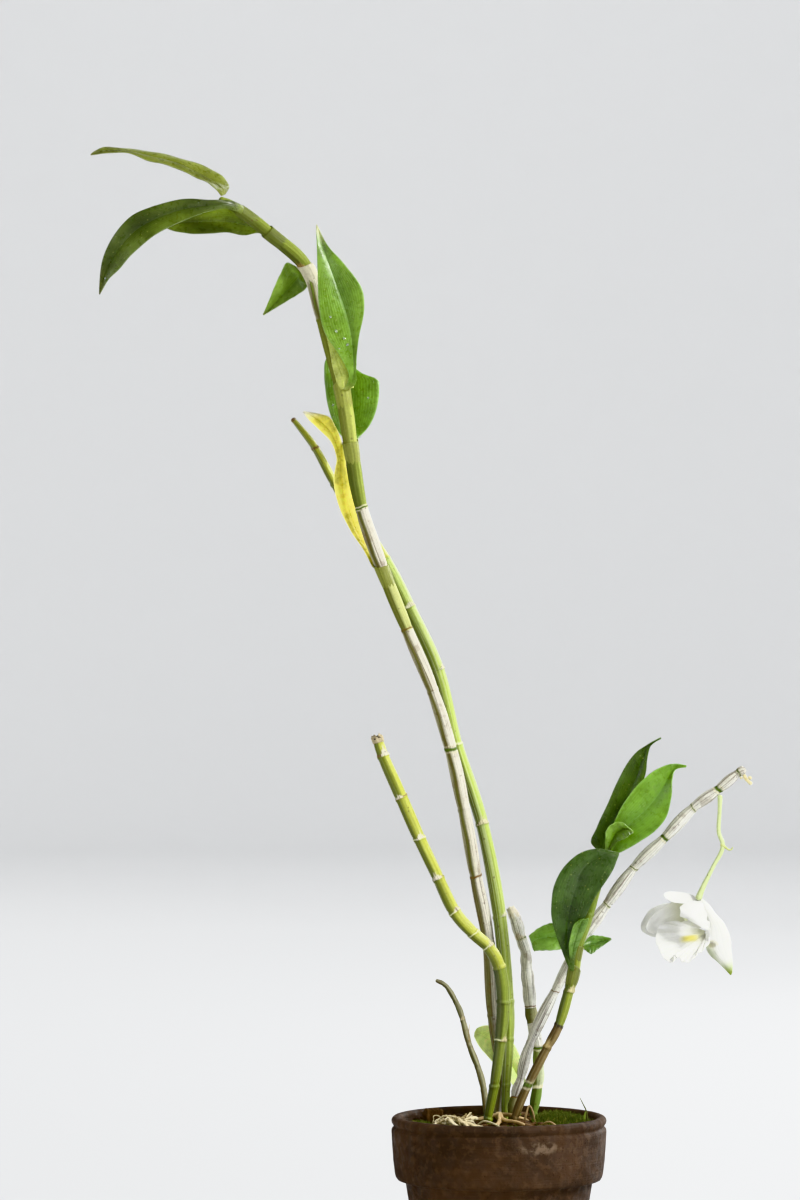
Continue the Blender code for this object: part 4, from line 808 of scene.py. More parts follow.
class Made:
    """What a node gives out. Made values are added, subtracted and multiplied as numbers are."""

    def __init__(self, tree, socket):
        """Keeps the node tree and the socket that the value comes from."""
        self.tree, self.socket = tree, socket

    def calc(self, operation, second=0.0):
        """This value and a second one through a Math node."""
        return put(self.tree, "ShaderNodeMath", {0: self, 1: second}, operation=operation)

    def __add__(self, other):
        """The sum of two values."""
        return self.calc("ADD", other)

    def __sub__(self, other):
        """This value less another."""
        return self.calc("SUBTRACT", other)

    def __mul__(self, other):
        """The product of two values."""
        return self.calc("MULTIPLY", other)

    def spread(self, low, high, new_low=0.0, new_high=1.0):
        """This value from low to high, eased to a new range."""
        return put(self.tree, "ShaderNodeMapRange", {
            "Value": self, "From Min": low, "From Max": high, "To Min": new_low, "To Max": new_high},
            interpolation_type="SMOOTHSTEP")

    def mix(self, first, second):
        """Two colours mixed by this value."""
        first, second = (part if isinstance(part, Made) else (*part, 1.0) for part in (first, second))
        return put(self.tree, "ShaderNodeMix", {0: self, 6: first, 7: second}, 2, data_type="RGBA")

    def shade(self, value, low, high):
        """This colour made darker or lighter by a value from 0 to 1."""
        level = value.spread(0.0, 1.0, low, high)
        return put(self.tree, "ShaderNodeHueSaturation", {"Value": level, "Color": self})

    def mapped(self, scale, move=(0.0, 0.0, 0.0)):
        """This place scaled, then moved."""
        return put(self.tree, "ShaderNodeMapping", {"Vector": self, "Location": move, "Scale": scale})


def put(tree, kind, inputs=None, output=0, **settings):
    """One node with its settings, its inputs given as constants or as made values. Gives the output that
    is asked for, or all of them by name when that is None."""
    node = tree.nodes.new(kind)
    for name, value in settings.items():
        setattr(node, name, value)
    for key, value in (inputs or {}).items():
        if isinstance(value, Made):
            tree.links.new(value.socket, node.inputs[key])
        else:
            node.inputs[key].default_value = value
    if output is None:
        return {socket.name: Made(tree, socket) for socket in node.outputs}
    return Made(tree, node.outputs[output])


def noise(place, scale, detail, **more):
    """Noise at a place, about 0 to 1."""
    return put(place.tree, "ShaderNodeTexNoise", {"Vector": place, "Scale": scale, "Detail": detail, **more})


def new_group(name, inputs, outputs):
    """An empty shader node group with a place, named values to take in and named values to give."""
    tree = bpy.data.node_groups.new(name, "ShaderNodeTree")
    tree.interface.new_socket("Vector", in_out="INPUT", socket_type="NodeSocketVector")
    for label, default in inputs.items():
        tree.interface.new_socket(label, in_out="INPUT", socket_type="NodeSocketFloat").default_value = default
    for label in outputs:
        tree.interface.new_socket(label, in_out="OUTPUT", socket_type="NodeSocketFloat")
    given = put(tree, "NodeGroupInput", output=None)
    return tree, given["Vector"], given


def mottle_group():
    """Cloudy variation: large clouds with smaller ones in them, from 0 to 1."""
    tree, place, given = new_group("mottle", {"Scale": 100.0}, ("Value", "Fine"))
    large = noise(place, given["Scale"], 5.0, Roughness=0.6)
    small = noise(place, given["Scale"] * 6.0, 3.0)
    put(tree, "NodeGroupOutput", {"Value": large.spread(0.3, 0.7), "Fine": small.spread(0.3, 0.7)}, None)
    return tree


def streaks_group():
    """Long fibres: noise stretched along a stem, from 0 to 1."""
    tree, place, given = new_group("streaks", {"Around": 500.0, "Along": 20.0}, ("Value",))
    scale = put(tree, "ShaderNodeCombineXYZ", {0: given["Around"], 1: given["Around"], 2: given["Along"]})
    stretched = put(tree, "ShaderNodeVectorMath", {0: place, 1: scale}, operation="MULTIPLY")
    fibres = noise(stretched, 1.0, 4.0, Roughness=0.65)
    put(tree, "NodeGroupOutput", {"Value": fibres.spread(0.28, 0.72)}, None)
    return tree


def lines_group():
    """Veins that run the length of a blade, from its own UV map: many fine lines, the midrib, the margin."""
    tree, place, given = new_group("blade lines", {"Count": 18.0}, ("Lines", "Midrib", "Margin"))
    across = put(tree, "ShaderNodeSeparateXYZ", {0: place})
    swayed = across + noise(place, 3.0, 2.0) * 0.03
    wave = (swayed * given["Count"] * (2 * math.pi)).calc("SINE")
    from_middle = (across - 0.5).calc("ABSOLUTE")
    put(tree, "NodeGroupOutput", {
        "Lines": wave.spread(0.4, 1.0), "Midrib": from_middle.spread(0.035, 0.0),
        "Margin": from_middle.spread(0.455, 0.495)}, None)
    return tree


def specks_group():
    """Small round specks, scattered: 1 in a speck and 0 outside."""
    tree, place, given = new_group("specks", {"Scale": 300.0, "Size": 0.2}, ("Mask",))
    cells = put(tree, "ShaderNodeTexVoronoi", {"Vector": place, "Scale": given["Scale"]}, None)
    size = put(tree, "ShaderNodeSeparateXYZ", {0: cells["Color"]}).calc("POWER", 3.0) * given["Size"]
    put(tree, "NodeGroupOutput", {"Mask": (size - cells["Distance"]).spread(0.0, 0.05)}, None)
    return tree


def use(name, place, **inputs):
    """One of the shared node groups, placed with its own values."""
    makers = {"mottle": mottle_group, "streaks": streaks_group, "blade lines": lines_group, "specks": specks_group}
    shared = bpy.data.node_groups.get(name) or makers[name]()
    return put(place.tree, "ShaderNodeGroup", {"Vector": place, **inputs}, None, node_tree=shared)


def blank(name, **constants):
    """Starts a material with its Principled shader's constant values, and gives its node tree."""
    FINISHES[name] = made = bpy.data.materials.new(name + "_finish")
    made.use_nodes = True
    for key, value in constants.items():
        made.node_tree.nodes["Principled BSDF"].inputs[key.replace("_", " ")].default_value = value
    return made.node_tree


def dress(name, colour, rough, height=None, depth=0.0, **more):
    """Gives a material its colour, its roughness, other values by name, and relief that is so many
    metres deep."""
    tree = FINISHES[name].node_tree
    if height:
        more["Normal"] = put(tree, "ShaderNodeBump", {"Height": height, "Distance": depth, "Strength": 1.0})
    for key, value in {"Base Color": colour, "Roughness": rough, **more}.items():
        tree.links.new(value.socket, tree.nodes["Principled BSDF"].inputs[key.replace("_", " ")])
    return FINISHES[name]


def read(tree, name, output):
    """An attribute that the piece's points carry."""
    return put(tree, "ShaderNodeAttribute", output=output, attribute_name=name)


def places(tree):
    """Where each point is: on its piece's UV map, and in the piece's own coordinates."""
    found = put(tree, "ShaderNodeTexCoord", output=None)
    return found["UV"], found["Object"]


def stem_finish(name, vein, vein_share, gloss, wax=0.0):
    """Skin of a cane or stalk: streaks along it, pale wax in long streaks, and where it is papery, thin
    brown veins and a few blotches."""
    if name in FINISHES:
        return FINISHES[name]
    tree = blank(name, Specular_IOR_Level=0.4)
    skin, paper, fibre = read(tree, "skin", "Color"), read(tree, "paper", "Fac"), read(tree, "fibre", "Vector")
    place = places(tree)[1]
    broad = use("streaks", fibre, Around=700.0, Along=12.0)["Value"]
    fine = use("streaks", fibre, Around=2100.0, Along=18.0)["Value"]
    cloud = use("mottle", place, Scale=130.0)
    specks = use("specks", place, Scale=420.0, Size=0.3)["Mask"]
    colour = skin.shade(broad, 0.8, 1.12).shade(cloud["Fine"], 0.93, 1.05)
    if wax:
        long_wax = use("streaks", fibre, Around=1100.0, Along=9.0)["Value"]
        colour = (long_wax.spread(0.5, 0.85) * wax).mix(colour, tone((222, 230, 190)))
    colour = (fine.spread(0.63, 0.78) * (paper * vein_share)).mix(colour, vein)
    colour = (cloud["Value"].spread(0.7, 0.98) * (paper * 0.4)).mix(colour, vein * 1.4)
    colour = (specks * 0.5).mix(colour, tone((84, 62, 34)))
    rough = paper.spread(0.0, 1.0, gloss, 0.72) + cloud["Value"] * 0.12
    return dress(name, colour, rough, broad * 0.7 + fine * (paper + 0.25), 0.00025)


def leaf_finish(name, count, gloss, speck_colour):
    """Leaf skin: parallel veins, a paler midrib and margin, cloudy greens, small blemishes, a waxy gloss."""
    if name in FINISHES:
        return FINISHES[name]
    tree = blank(name, Specular_IOR_Level=0.45, Coat_Roughness=0.3, Subsurface_Weight=0.12,
                 Subsurface_Scale=0.002, Subsurface_Radius=(0.7, 1.0, 0.2))
    skin = read(tree, "skin", "Color")
    blade, place = places(tree)
    lines = use("blade lines", blade, Count=count)
    cloud = use("mottle", place, Scale=70.0)
    small = use("mottle", place, Scale=420.0)["Value"]
    specks = use("specks", place, Scale=700.0, Size=0.3)["Mask"]
    colour = skin.shade(cloud["Value"], 0.74, 1.16).shade(small, 0.88, 1.08).shade(lines["Lines"], 0.93, 1.12)
    paler = put(tree, "ShaderNodeHueSaturation", {"Value": 1.5, "Saturation": 0.85, "Color": skin})
    colour = (lines["Midrib"] * 0.55).mix(colour, paler)
    colour = (lines["Margin"] * 0.7).mix(colour, paler)
    colour = (specks * 0.28).mix(colour, tone(speck_colour))
    return dress(name, colour, cloud["Fine"].spread(0.0, 1.0, gloss, gloss + 0.16),
                 lines["Lines"] * 0.5 - lines["Midrib"] + small * 0.35, 0.00012,
                 Coat_Weight=cloud["Value"].spread(0.3, 0.8, 0.02, 0.3))


def petal_finish(name):
    """Petal skin: soft translucent white with faint veins and a fine crystal grain."""
    tree = blank(name, Specular_IOR_Level=0.35, Subsurface_Weight=0.3, Subsurface_Scale=0.0015, Sheen_Weight=0.1,
                 Subsurface_Radius=(0.95, 1.0, 0.8))
    blade, place = places(tree)
    lines = use("blade lines", blade, Count=15.0)["Lines"]
    cloud = use("mottle", place, Scale=180.0)
    colour = read(tree, "skin", "Color").shade(lines, 1.0, 0.965).shade(cloud["Value"], 0.94, 1.03)
    return dress(name, colour, cloud["Fine"].spread(0.0, 1.0, 0.42, 0.6), cloud["Fine"] * 0.5 - lines, 0.00006)


def water_finish():
    """A drop of water: mostly clear, its whitish colour partly a painted glint, with a faint ripple in its surface
    and roughness.
    """
    tree = blank("water", Transmission_Weight=0.8, IOR=1.33, Specular_IOR_Level=1.0)
    cloud = use("mottle", places(tree)[1], Scale=900.0)
    return dress("water", cloud["Value"].mix((0.86, 0.93, 0.86), (0.97, 1.0, 0.97)),
                 cloud["Fine"].spread(0.0, 1.0, 0.02, 0.08), cloud["Value"], 0.00003)


def clay_finish():
    """Old terracotta: dark brown that is partly weathering and partly painted shade, sandy grain, turning marks,
    pale mineral bloom and damp stains.
    """
    tree = blank("terracotta", Specular_IOR_Level=0.25)
    place = places(tree)[1]
    cloud = use("mottle", place, Scale=28.0)
    grain = use("mottle", place, Scale=260.0)
    specks = use("specks", place, Scale=620.0, Size=0.35)["Mask"]
    turning = noise(place.mapped((30.0, 30.0, 1400.0)), 1.0, 2.0)
    streak = noise(place.mapped((60.0, 60.0, 16.0)), 1.0, 5.0)
    stain = place.mapped((85.0, 45.0, 260.0), (-1.65, 2.3, -22.6))
    reach = put(tree, "ShaderNodeVectorMath", {0: stain}, "Value", operation="LENGTH")
    # the dark brown base: partly the clay's weathering and partly painted shade
    colour = cloud["Value"].mix(tone((46, 36, 28)), tone((70, 53, 40)))
    for share, toward in (
            (grain["Value"].spread(0.45, 1.0, 0.0, 0.4), (90, 70, 54)),
            (streak.spread(0.56, 0.72) * grain["Fine"].spread(0.2, 0.8) * 0.2, (124, 106, 88)),
            (reach.spread(1.1, 0.5) * grain["Value"].spread(0.15, 0.7) * 0.4, (136, 118, 98)),
            (specks * 0.5, (40, 28, 20))):
        colour = share.mix(colour, tone(toward))
    return dress("terracotta", colour, cloud["Fine"].spread(0.0, 1.0, 0.66, 0.9),
                 turning * 0.8 + grain["Value"] * 0.5 - specks * 0.6, 0.0004)


def toned_finish(name, dark, light, stray, rough, grain_scale, depth, stretch=1.0):
    """Bark, moss or root: each small form's own tone, cloudy grain over it, and stray patches."""
    tree = blank(name, Specular_IOR_Level=0.25)
    own = read(tree, "tone", "Fac")
    cloud = use("mottle", places(tree)[1].mapped((1.0, stretch, 1.0)), Scale=grain_scale)
    colour = (own * 0.65 + cloud["Value"] * 0.35).mix(tone(dark), tone(light))
    colour = (own * cloud["Fine"]).spread(0.55, 0.8, 0.0, 0.6).mix(colour, tone(stray))
    return dress(name, colour, cloud["Fine"].spread(0.0, 1.0, rough - 0.12, rough + 0.08),
                 cloud["Value"] + cloud["Fine"] * 0.5, depth)


def mix_height(x, y):
    """Height of the soil: a level, two products of sines as lumps, and a low heap at the canes."""
    lumps = 0.7 * np.sin(0.23 * x + 1.1) * np.cos(0.21 * y - 0.6) + 0.4 * np.sin(0.31 * x - 0.27 * y + 2.0)
    return 93.0 + lumps + 1.5 * np.exp(-((x - 5) ** 2 + (y - 9) ** 2) / 700)


def wall_radius(height):
    """Radius of the pot's inner wall at a height."""
    upper = 49 - 2.5 * (1 - (height - 66) / 32)
    lower = 32.1 + (42.6 - 32.1) * (height - 7) / 59
    return np.where(height >= 66, upper, lower)


def turned(radius, height, angle):
    """A profile of radii and heights carried round the upright axis."""
    flat = radius[:, None] if radius.ndim == 1 else radius
    height = np.broadcast_to(height[:, None], flat.shape[:1] + angle.shape)
    return np.stack([flat * np.cos(angle), flat * np.sin(angle), height], -1)


def turned_points(profile, steps):
    """The pot's profile carried round the upright axis, slightly out of round."""
    radius, height = np.asarray(profile, float).T
    angle = circle(steps)
    uneven = 1 + 0.0016 * np.sin(2 * angle + 0.7) + 0.0008 * np.sin(5 * angle)
    return turned(radius[:, None] * uneven, height, angle)


def pot_profile(sizes):
    """The pot's section from the middle of its floor, up the inner wall, over the bead, down the collar,
    past its step, and down to the foot."""
    rim, bead = sizes.rim_radius / MM, sizes.bead_height / MM
    inner = [(3, 7.0), (16, 7.0), (29, 7.05), (wall_radius(7.0) - 0.6, 7.3), (wall_radius(9.0), 9.0)]
    inner += [(float(wall_radius(h)), h) for h in (16, 28, 40, 52, 60, 62)]
    inner += [(44.6, 64.0), (46.3, 66.0), (46.8, 70.0), (47.6, 80.0), (48.5, 90.0), (48.95, 93.6)]
    angle = np.radians(np.linspace(180, -35, 14))
    over = [(rim - 2.5 + 2.5 * math.cos(a), 98 - bead / 2 + bead / 2 * math.sin(a)) for a in angle]
    outer = [(rim - 1.25, 93.0), (rim - 1.3, 92.6), (rim - 0.55, 92.1), (rim - 0.1, 91.4), (rim, 90.2)]
    outer += [(rim - 0.35, 84.0), (rim - 0.9, 76.0), (rim - 1.7, 69.4), (rim - 2.2, 67.5), (rim - 3.0, 66.3)]
    outer += [(rim - 4.2, 65.9), (rim - 6.0, 65.6), (46.9, 64.6)]
    outer += [(36.5 + (47 - 36.5) * (h - 1.5) / 63.7, h) for h in (62, 54, 44, 34, 24, 14, 6)]
    return inner + over + outer + [(36.6, 2.0), (36.2, 0.7), (35.4, 0.0), (30, 0.0), (16, 0.0), (3, 0.0)]


class OrchidSizes(bpy.types.PropertyGroup):
    """Sizes that a user would change."""
    rim_radius: bpy.props.FloatProperty(
        name="Rim radius", description="Outer radius of the pot's collar", default=0.054, unit="LENGTH")
    bead_height: bpy.props.FloatProperty(
        name="Bead height", description="Height of the round bead on the pot's rim", default=0.0048, unit="LENGTH")
    leaf_thickness: bpy.props.FloatProperty(
        name="Leaf thickness", description="Thickness of every leaf", default=0.0006, unit="LENGTH")
    petal_thickness: bpy.props.FloatProperty(
        name="Petal thickness", description="Thickness of the sepals, petals and lip", default=0.0004,
        unit="LENGTH")
    chip_count: bpy.props.IntProperty(
        name="Bark chips", description="How many loose chips lie on the soil", default=330)
    moss_count: bpy.props.IntProperty(
        name="Moss shoots", description="How many small shoots the moss has", default=2100)


class OrchidColours(bpy.types.PropertyGroup):
    """Colours that a user would change."""
    petal: bpy.props.FloatVectorProperty(
        name="Petal white", description="Colour of the sepals and petals", size=3, subtype="COLOR",
        default=tuple(tone((232, 232, 226))))
    # the throat colour: partly the bloom's greenish inside and partly painted shade deep in the bloom
    throat: bpy.props.FloatVectorProperty(
        name="Throat", description="Greenish white inside the bloom", size=3, subtype="COLOR",
        default=tuple(tone((164, 164, 124))))
    callus: bpy.props.FloatVectorProperty(
        name="Callus", description="Yellow ridge on the lip", size=3, subtype="COLOR",
        default=tuple(tone((208, 196, 74))))
    spur_tip: bpy.props.FloatVectorProperty(
        name="Spur tip", description="Green at the end of the spur", size=3, subtype="COLOR",
        default=tuple(tone((138, 156, 58))))
    vein: bpy.props.FloatVectorProperty(
        name="Sheath veins", description="Brown veins of the papery sheaths", size=3, subtype="COLOR",
        default=tuple(tone((100, 80, 54))))
    backdrop: bpy.props.FloatVectorProperty(
        name="Backdrop", description="Pale grey of the floor and the wall", size=3, subtype="COLOR",
        default=(0.62, 0.625, 0.63))


class ORCHID_OT_pot(bpy.types.Operator):
    """Adds the clay pot: a turned shell with a bead, a collar and three drain holes"""
    bl_idname = "orchid.pot"
    bl_label = "Pot"

    def execute(self, context):
        """Turns the pot's profile, closes it, and drills its floor."""
        points = turned_points(pot_profile(context.scene.orchid_sizes), 176)[::-1]
        clay = clay_finish()
        pot = make_piece("clay_pot", [closed(points)], clay, ("pot",))
        angle = circle(32)
        drills = []
        for turn in 2 * math.pi * (np.arange(3) + 0.25) / 3:
            x = DRAIN_RING * math.cos(turn) + DRAIN_RADIUS * np.cos(angle)
            y = DRAIN_RING * math.sin(turn) + DRAIN_RADIUS * np.sin(angle)
            ring = np.stack([x, y, np.zeros(len(angle))], -1)
            drills.append(closed(np.stack([ring + (0, 0, level) for level in (-5.0, 12.0)])))
        drill = make_piece("drill", drills, clay)
        cut = pot.modifiers.new("drain", "BOOLEAN")
        cut.object, cut.operation, cut.solver = drill, "DIFFERENCE", "EXACT"
        whole = bpy.data.meshes.new_from_object(pot.evaluated_get(context.evaluated_depsgraph_get()))
        pot.modifiers.clear()
        pot.data = whole
        bpy.data.objects.remove(drill)
        return {"FINISHED"}


class ORCHID_OT_soil(bpy.types.Operator):
    """Adds the potting mix, with its loose bark chips, and the one piece of bark that stands up"""
    bl_idname = "orchid.soil"
    bl_label = "Soil and bark"

    def execute(self, context):
        """Makes the bed, then scatters chips that are blocky ellipsoids, each turned its own way."""
        finish = toned_finish("potting_bark", (34, 24, 16), (104, 78, 52), (160, 134, 98), 0.85, 420.0, 0.0004)
        rings = np.linspace(0.6, float(wall_radius(93.0)) - 0.3, 44)
        angle = circle(128)
        x, y = rings[:, None] * np.cos(angle), rings[:, None] * np.sin(angle)
        z = mix_height(x, y) + 0.35 * np.sin(1.9 * x + 0.4 * y) * np.sin(1.6 * y - 0.7 * x) - 0.3
        top = np.stack([x, y, z], -1)
        height = np.array([84.0, 66.0, 62.0, 34.0, 7.6])
        points = np.concatenate([top, turned(wall_radius(height) - 0.4, height, angle)])
        bed = closed(points[::-1], {"tone": np.full(points.shape[:2], 0.25)})
        make_piece("soil_bed", [bed, chip_patch(context.scene.orchid_sizes.chip_count)], finish,
                   ("potting_mix",))
        bark = toned_finish("bark", (62, 44, 28), (132, 102, 70), (168, 146, 112), 0.85, 300.0, 0.0008, 6.0)
        make_piece("standing_bark", [standing_bark()], bark, ("bark_piece",))
        return {"FINISHED"}


def rounded_block(rows, columns, power):
    """A unit ellipsoid made blocky: each coordinate is its sign times its size to a power below 1."""
    latitude = np.linspace(-0.5, 0.5, rows + 2)[1:-1] * math.pi
    longitude = circle(columns)
    x = np.cos(latitude)[:, None] * np.cos(longitude)
    y = np.cos(latitude)[:, None] * np.sin(longitude)
    z = np.broadcast_to(np.sin(latitude)[:, None], x.shape)
    points = np.stack([x, y, z], -1)
    return np.sign(points) * np.abs(points) ** power


def turns(draw, count, tilt):
    """Random turns as matrices: a full turn about the upright axis after a small tilt."""
    a, b = draw.uniform(-tilt, tilt, count), draw.uniform(-tilt, tilt, count)
    c = draw.uniform(0, 2 * math.pi, count)
    zero, one = np.zeros(count), np.ones(count)
    about_x = np.array([[one, zero, zero], [zero, np.cos(a), -np.sin(a)], [zero, np.sin(a), np.cos(a)]])
    about_y = np.array([[np.cos(b), zero, np.sin(b)], [zero, one, zero], [-np.sin(b), zero, np.cos(b)]])
    about_z = np.array([[np.cos(c), -np.sin(c), zero], [np.sin(c), np.cos(c), zero], [zero, zero, one]])
    return np.einsum("abn,bcn,cdn->nad", about_z, about_y, about_x)


def repeat_patch(shape, places, sizes, matrices, tones):
    """One small closed shape repeated: scaled, turned and moved to each place, all in one array."""
    spread_out = np.einsum("nab,rcb,nb->nrca", matrices, shape, sizes) + places[:, None, None]
    one = closed(spread_out[0], {"tone": np.zeros(shape.shape[:2])})
    count, size = len(places), len(one["verts"])
    middle = spread_out[:, (0, -1)].mean(axis=2)
    verts = np.concatenate([spread_out.reshape(count, -1, 3), middle], axis=1).reshape(-1, 3)
    offset = (np.arange(count) * size)[:, None, None]
    faces = [((group[None] + offset).reshape(-1, group.shape[1]), np.tile(spots, (count, 1)))
             for group, spots in one["faces"]]
    return {"verts": verts, "faces": faces, "values": {"tone": np.repeat(tones, size)[:, None]}}


def chip_patch(count):
    """Bark chips over the soil, fewer where the canes and the moss stand."""
    draw = np.random.default_rng(CHIP_SEED)
    angle, reach = draw.uniform(0, 2 * math.pi, 3 * count), 45.5 * np.sqrt(draw.uniform(0, 1, 3 * count))
    x, y = reach * np.cos(angle), reach * np.sin(angle)
    feet = np.array([cane[2][0][:2] for cane in CANES.values()])
    clear = np.min(np.hypot(x[:, None] - feet[:, 0], y[:, None] - feet[:, 1]), axis=1) > 5.5
    clear &= np.hypot((x - MOSS_CENTRE[0]) / 12, (y - MOSS_CENTRE[1]) / 15) > 1
    x, y = x[clear][:count], y[clear][:count]
    count = len(x)
    sizes = np.stack([draw.uniform(low, high, count) for low, high in ((1.2, 4.2), (0.8, 2.4), (0.4, 1.2))], -1)
    z = mix_height(x, y) + draw.uniform(-0.1, 0.9, count)
    return repeat_patch(rounded_block(4, 8, 0.55), np.stack([x, y, z], -1), sizes, turns(draw, count, 0.35),
                        draw.uniform(0, 1, count) ** 1.4)


def rest_on_mix(shape, centre, half_size, turn, height, relief):
    """A unit shape laid on the soil: its underside follows the soil, and its top is domed and lumpy."""
    flat_x, flat_y = shape[..., 0] * half_size[0], shape[..., 1] * half_size[1]
    x = centre[0] + flat_x * math.cos(turn) - flat_y * math.sin(turn)
    y = centre[1] + flat_x * math.sin(turn) + flat_y * math.cos(turn)
    rise = (np.maximum(shape[..., 2], -0.2) + 0.2) / 1.2
    lumps = relief * np.sin(0.9 * x) * np.cos(0.8 * y) * rise
    return np.stack([x, y, mix_height(x, y) + 0.3 + height * rise + lumps], -1)


def standing_bark():
    """The piece of bark that stands up at the left: a blocky shape with ridges along its grain."""
    shape = rounded_block(20, 32, 0.35)
    points = rest_on_mix(shape, BARK_CENTRE, BARK_HALF_SIZE, BARK_TURN, BARK_HEIGHT, 0.5)
    points[..., 2] += 0.35 * np.sin(3.1 * points[..., 0] + 0.6 * points[..., 1]) * np.clip(shape[..., 2], 0, 1)
    points[..., 0] += 0.25 * np.sin(2.3 * points[..., 2])
    tones = 0.5 + 0.3 * np.sin(2.2 * points[..., 0] + points[..., 1])
    return closed(points, {"tone": tones})


def moss_shoots(draw, x, y, rise, widest, lengths, tilt, darkest):
    """Small shoots on the soil at each place: a three-sided spike that narrows and bends to its tip."""
    ring = circle(3)
    levels = np.array([(-1.0, 0.9), (0.0, 1.0), (0.9, 0.75), (1.6, 0.15)])
    shoot = np.stack([levels[:, 1, None] * np.cos(ring) + 0.6 * np.clip(levels[:, 0, None], 0, 2) ** 2,
                      levels[:, 1, None] * np.sin(ring), np.broadcast_to(levels[:, 0, None], (4, 3))], -1)
    count = len(x)
    width, length = draw.uniform(0.16, widest, count), draw.uniform(*lengths, count)
    return repeat_patch(shoot, np.stack([x, y, mix_height(x, y) + rise], -1), np.stack([width, width, length], -1),
                        turns(draw, count, tilt), draw.uniform(darkest, 1, count))


class ORCHID_OT_moss(bpy.types.Operator):
    """Adds the moss cushion and its many small shoots"""
    bl_idname = "orchid.moss"
    bl_label = "Moss"

    def execute(self, context):
        """Lays the cushion on the soil, then stands tapered shoots all over it."""
        finish = toned_finish("moss", (30, 32, 14), (88, 104, 40), (186, 176, 112), 0.85, 600.0, 0.0003)
        shape = rounded_block(20, 40, 0.9)
        cushion = rest_on_mix(shape, MOSS_CENTRE, MOSS_RADII, 0, MOSS_HEIGHT - 1.2, 0.7)
        cushion[..., 2] += 0.5 * np.sin(1.3 * cushion[..., 0]) * np.sin(1.1 * cushion[..., 1] + 1)
        base = closed(cushion, {"tone": np.full(cushion.shape[:2], 0.15)})
        draw = np.random.default_rng(MOSS_SEED)
        count = context.scene.orchid_sizes.moss_count
        angle = draw.uniform(0, 2 * math.pi, count)
        reach = np.sqrt(draw.uniform(0, 1, count)) * (1.07 + 0.1 * np.sin(5 * angle + 1))
        x = MOSS_CENTRE[0] + MOSS_RADII[0] * reach * np.cos(angle)
        y = MOSS_CENTRE[1] + MOSS_RADII[1] * reach * np.sin(angle)
        rise = MOSS_HEIGHT * np.sqrt(np.maximum(1 - reach ** 2, 0)) * 0.75
        rise += 0.5 * np.sin(1.3 * x) * np.sin(1.1 * y + 1)
        shoots = moss_shoots(draw, x, y, rise, 0.36, (0.5, 2.4), 0.7, 0.25)
        make_piece("moss_cushion", [base, shoots], finish, ("moss",))
        tufts = []
        for centre_x, centre_y, reach in MOSS_TUFTS:
            x = centre_x + draw.normal(0, reach / 2, count // TUFT_SHARE)
            y = centre_y + draw.normal(0, reach / 2.6, count // TUFT_SHARE)
            inside = np.hypot(x, y) < 45
            tufts.append(moss_shoots(draw, x[inside], y[inside], 0.9, 0.34, (0.6, 1.5), 0.8, 0.2))
        make_piece("moss_tufts", tufts, finish)
        return {"FINISHED"}


def root_rows(knot, middle, end, radius, lift, draw):
    """A root over the soil: a quadratic curve from a knot to its end, arched by a half sine and swayed."""
    t = np.linspace(0, 1, 13)
    x = (1 - t) ** 2 * knot[0] + 2 * t * (1 - t) * middle[0] + t ** 2 * end[0] + draw.uniform(-0.4, 0.4, 13)
    y = (1 - t) ** 2 * knot[1] + 2 * t * (1 - t) * middle[1] + t ** 2 * end[1] + draw.uniform(-0.4, 0.4, 13)
    thick = radius * (1 - 0.35 * t)
    z = mix_height(x, y) + radius + 1.0 * (1 - t) + REST_GAP + lift * np.sin(math.pi * t)
    return np.stack([x, y, z, thick], -1)


def root_piece(name, knot, routes, colours, finish, node, draw):
    """A knot of roots as one piece: each route is a lumpy tube, thinner to its end."""
    patches = []
    for middle, end, radius, lift in routes:
        colour = np.array(colours[0]) + draw.uniform(0, 1) * (np.array(colours[1]) - colours[0])
        rows = root_rows(knot, middle, end, radius, lift, draw)
        patches.append(tube_patch(rows, 14, (0, 0, 1), colour, 3, lumps=0.12))
    level = float(mix_height(knot[0], knot[1])) + REST_GAP + 1.6
    crown = rounded_block(8, 16, 0.8) * 2.0 + np.array([knot[0], knot[1], level])
    fields = {"skin": np.broadcast_to(tone(colours[1]), crown.shape), "fibre": crown * MM,
              "paper": np.zeros(crown.shape[:2])}
    patches.append(closed(crown, fields))
    make_piece(name, patches, finish, (node,))


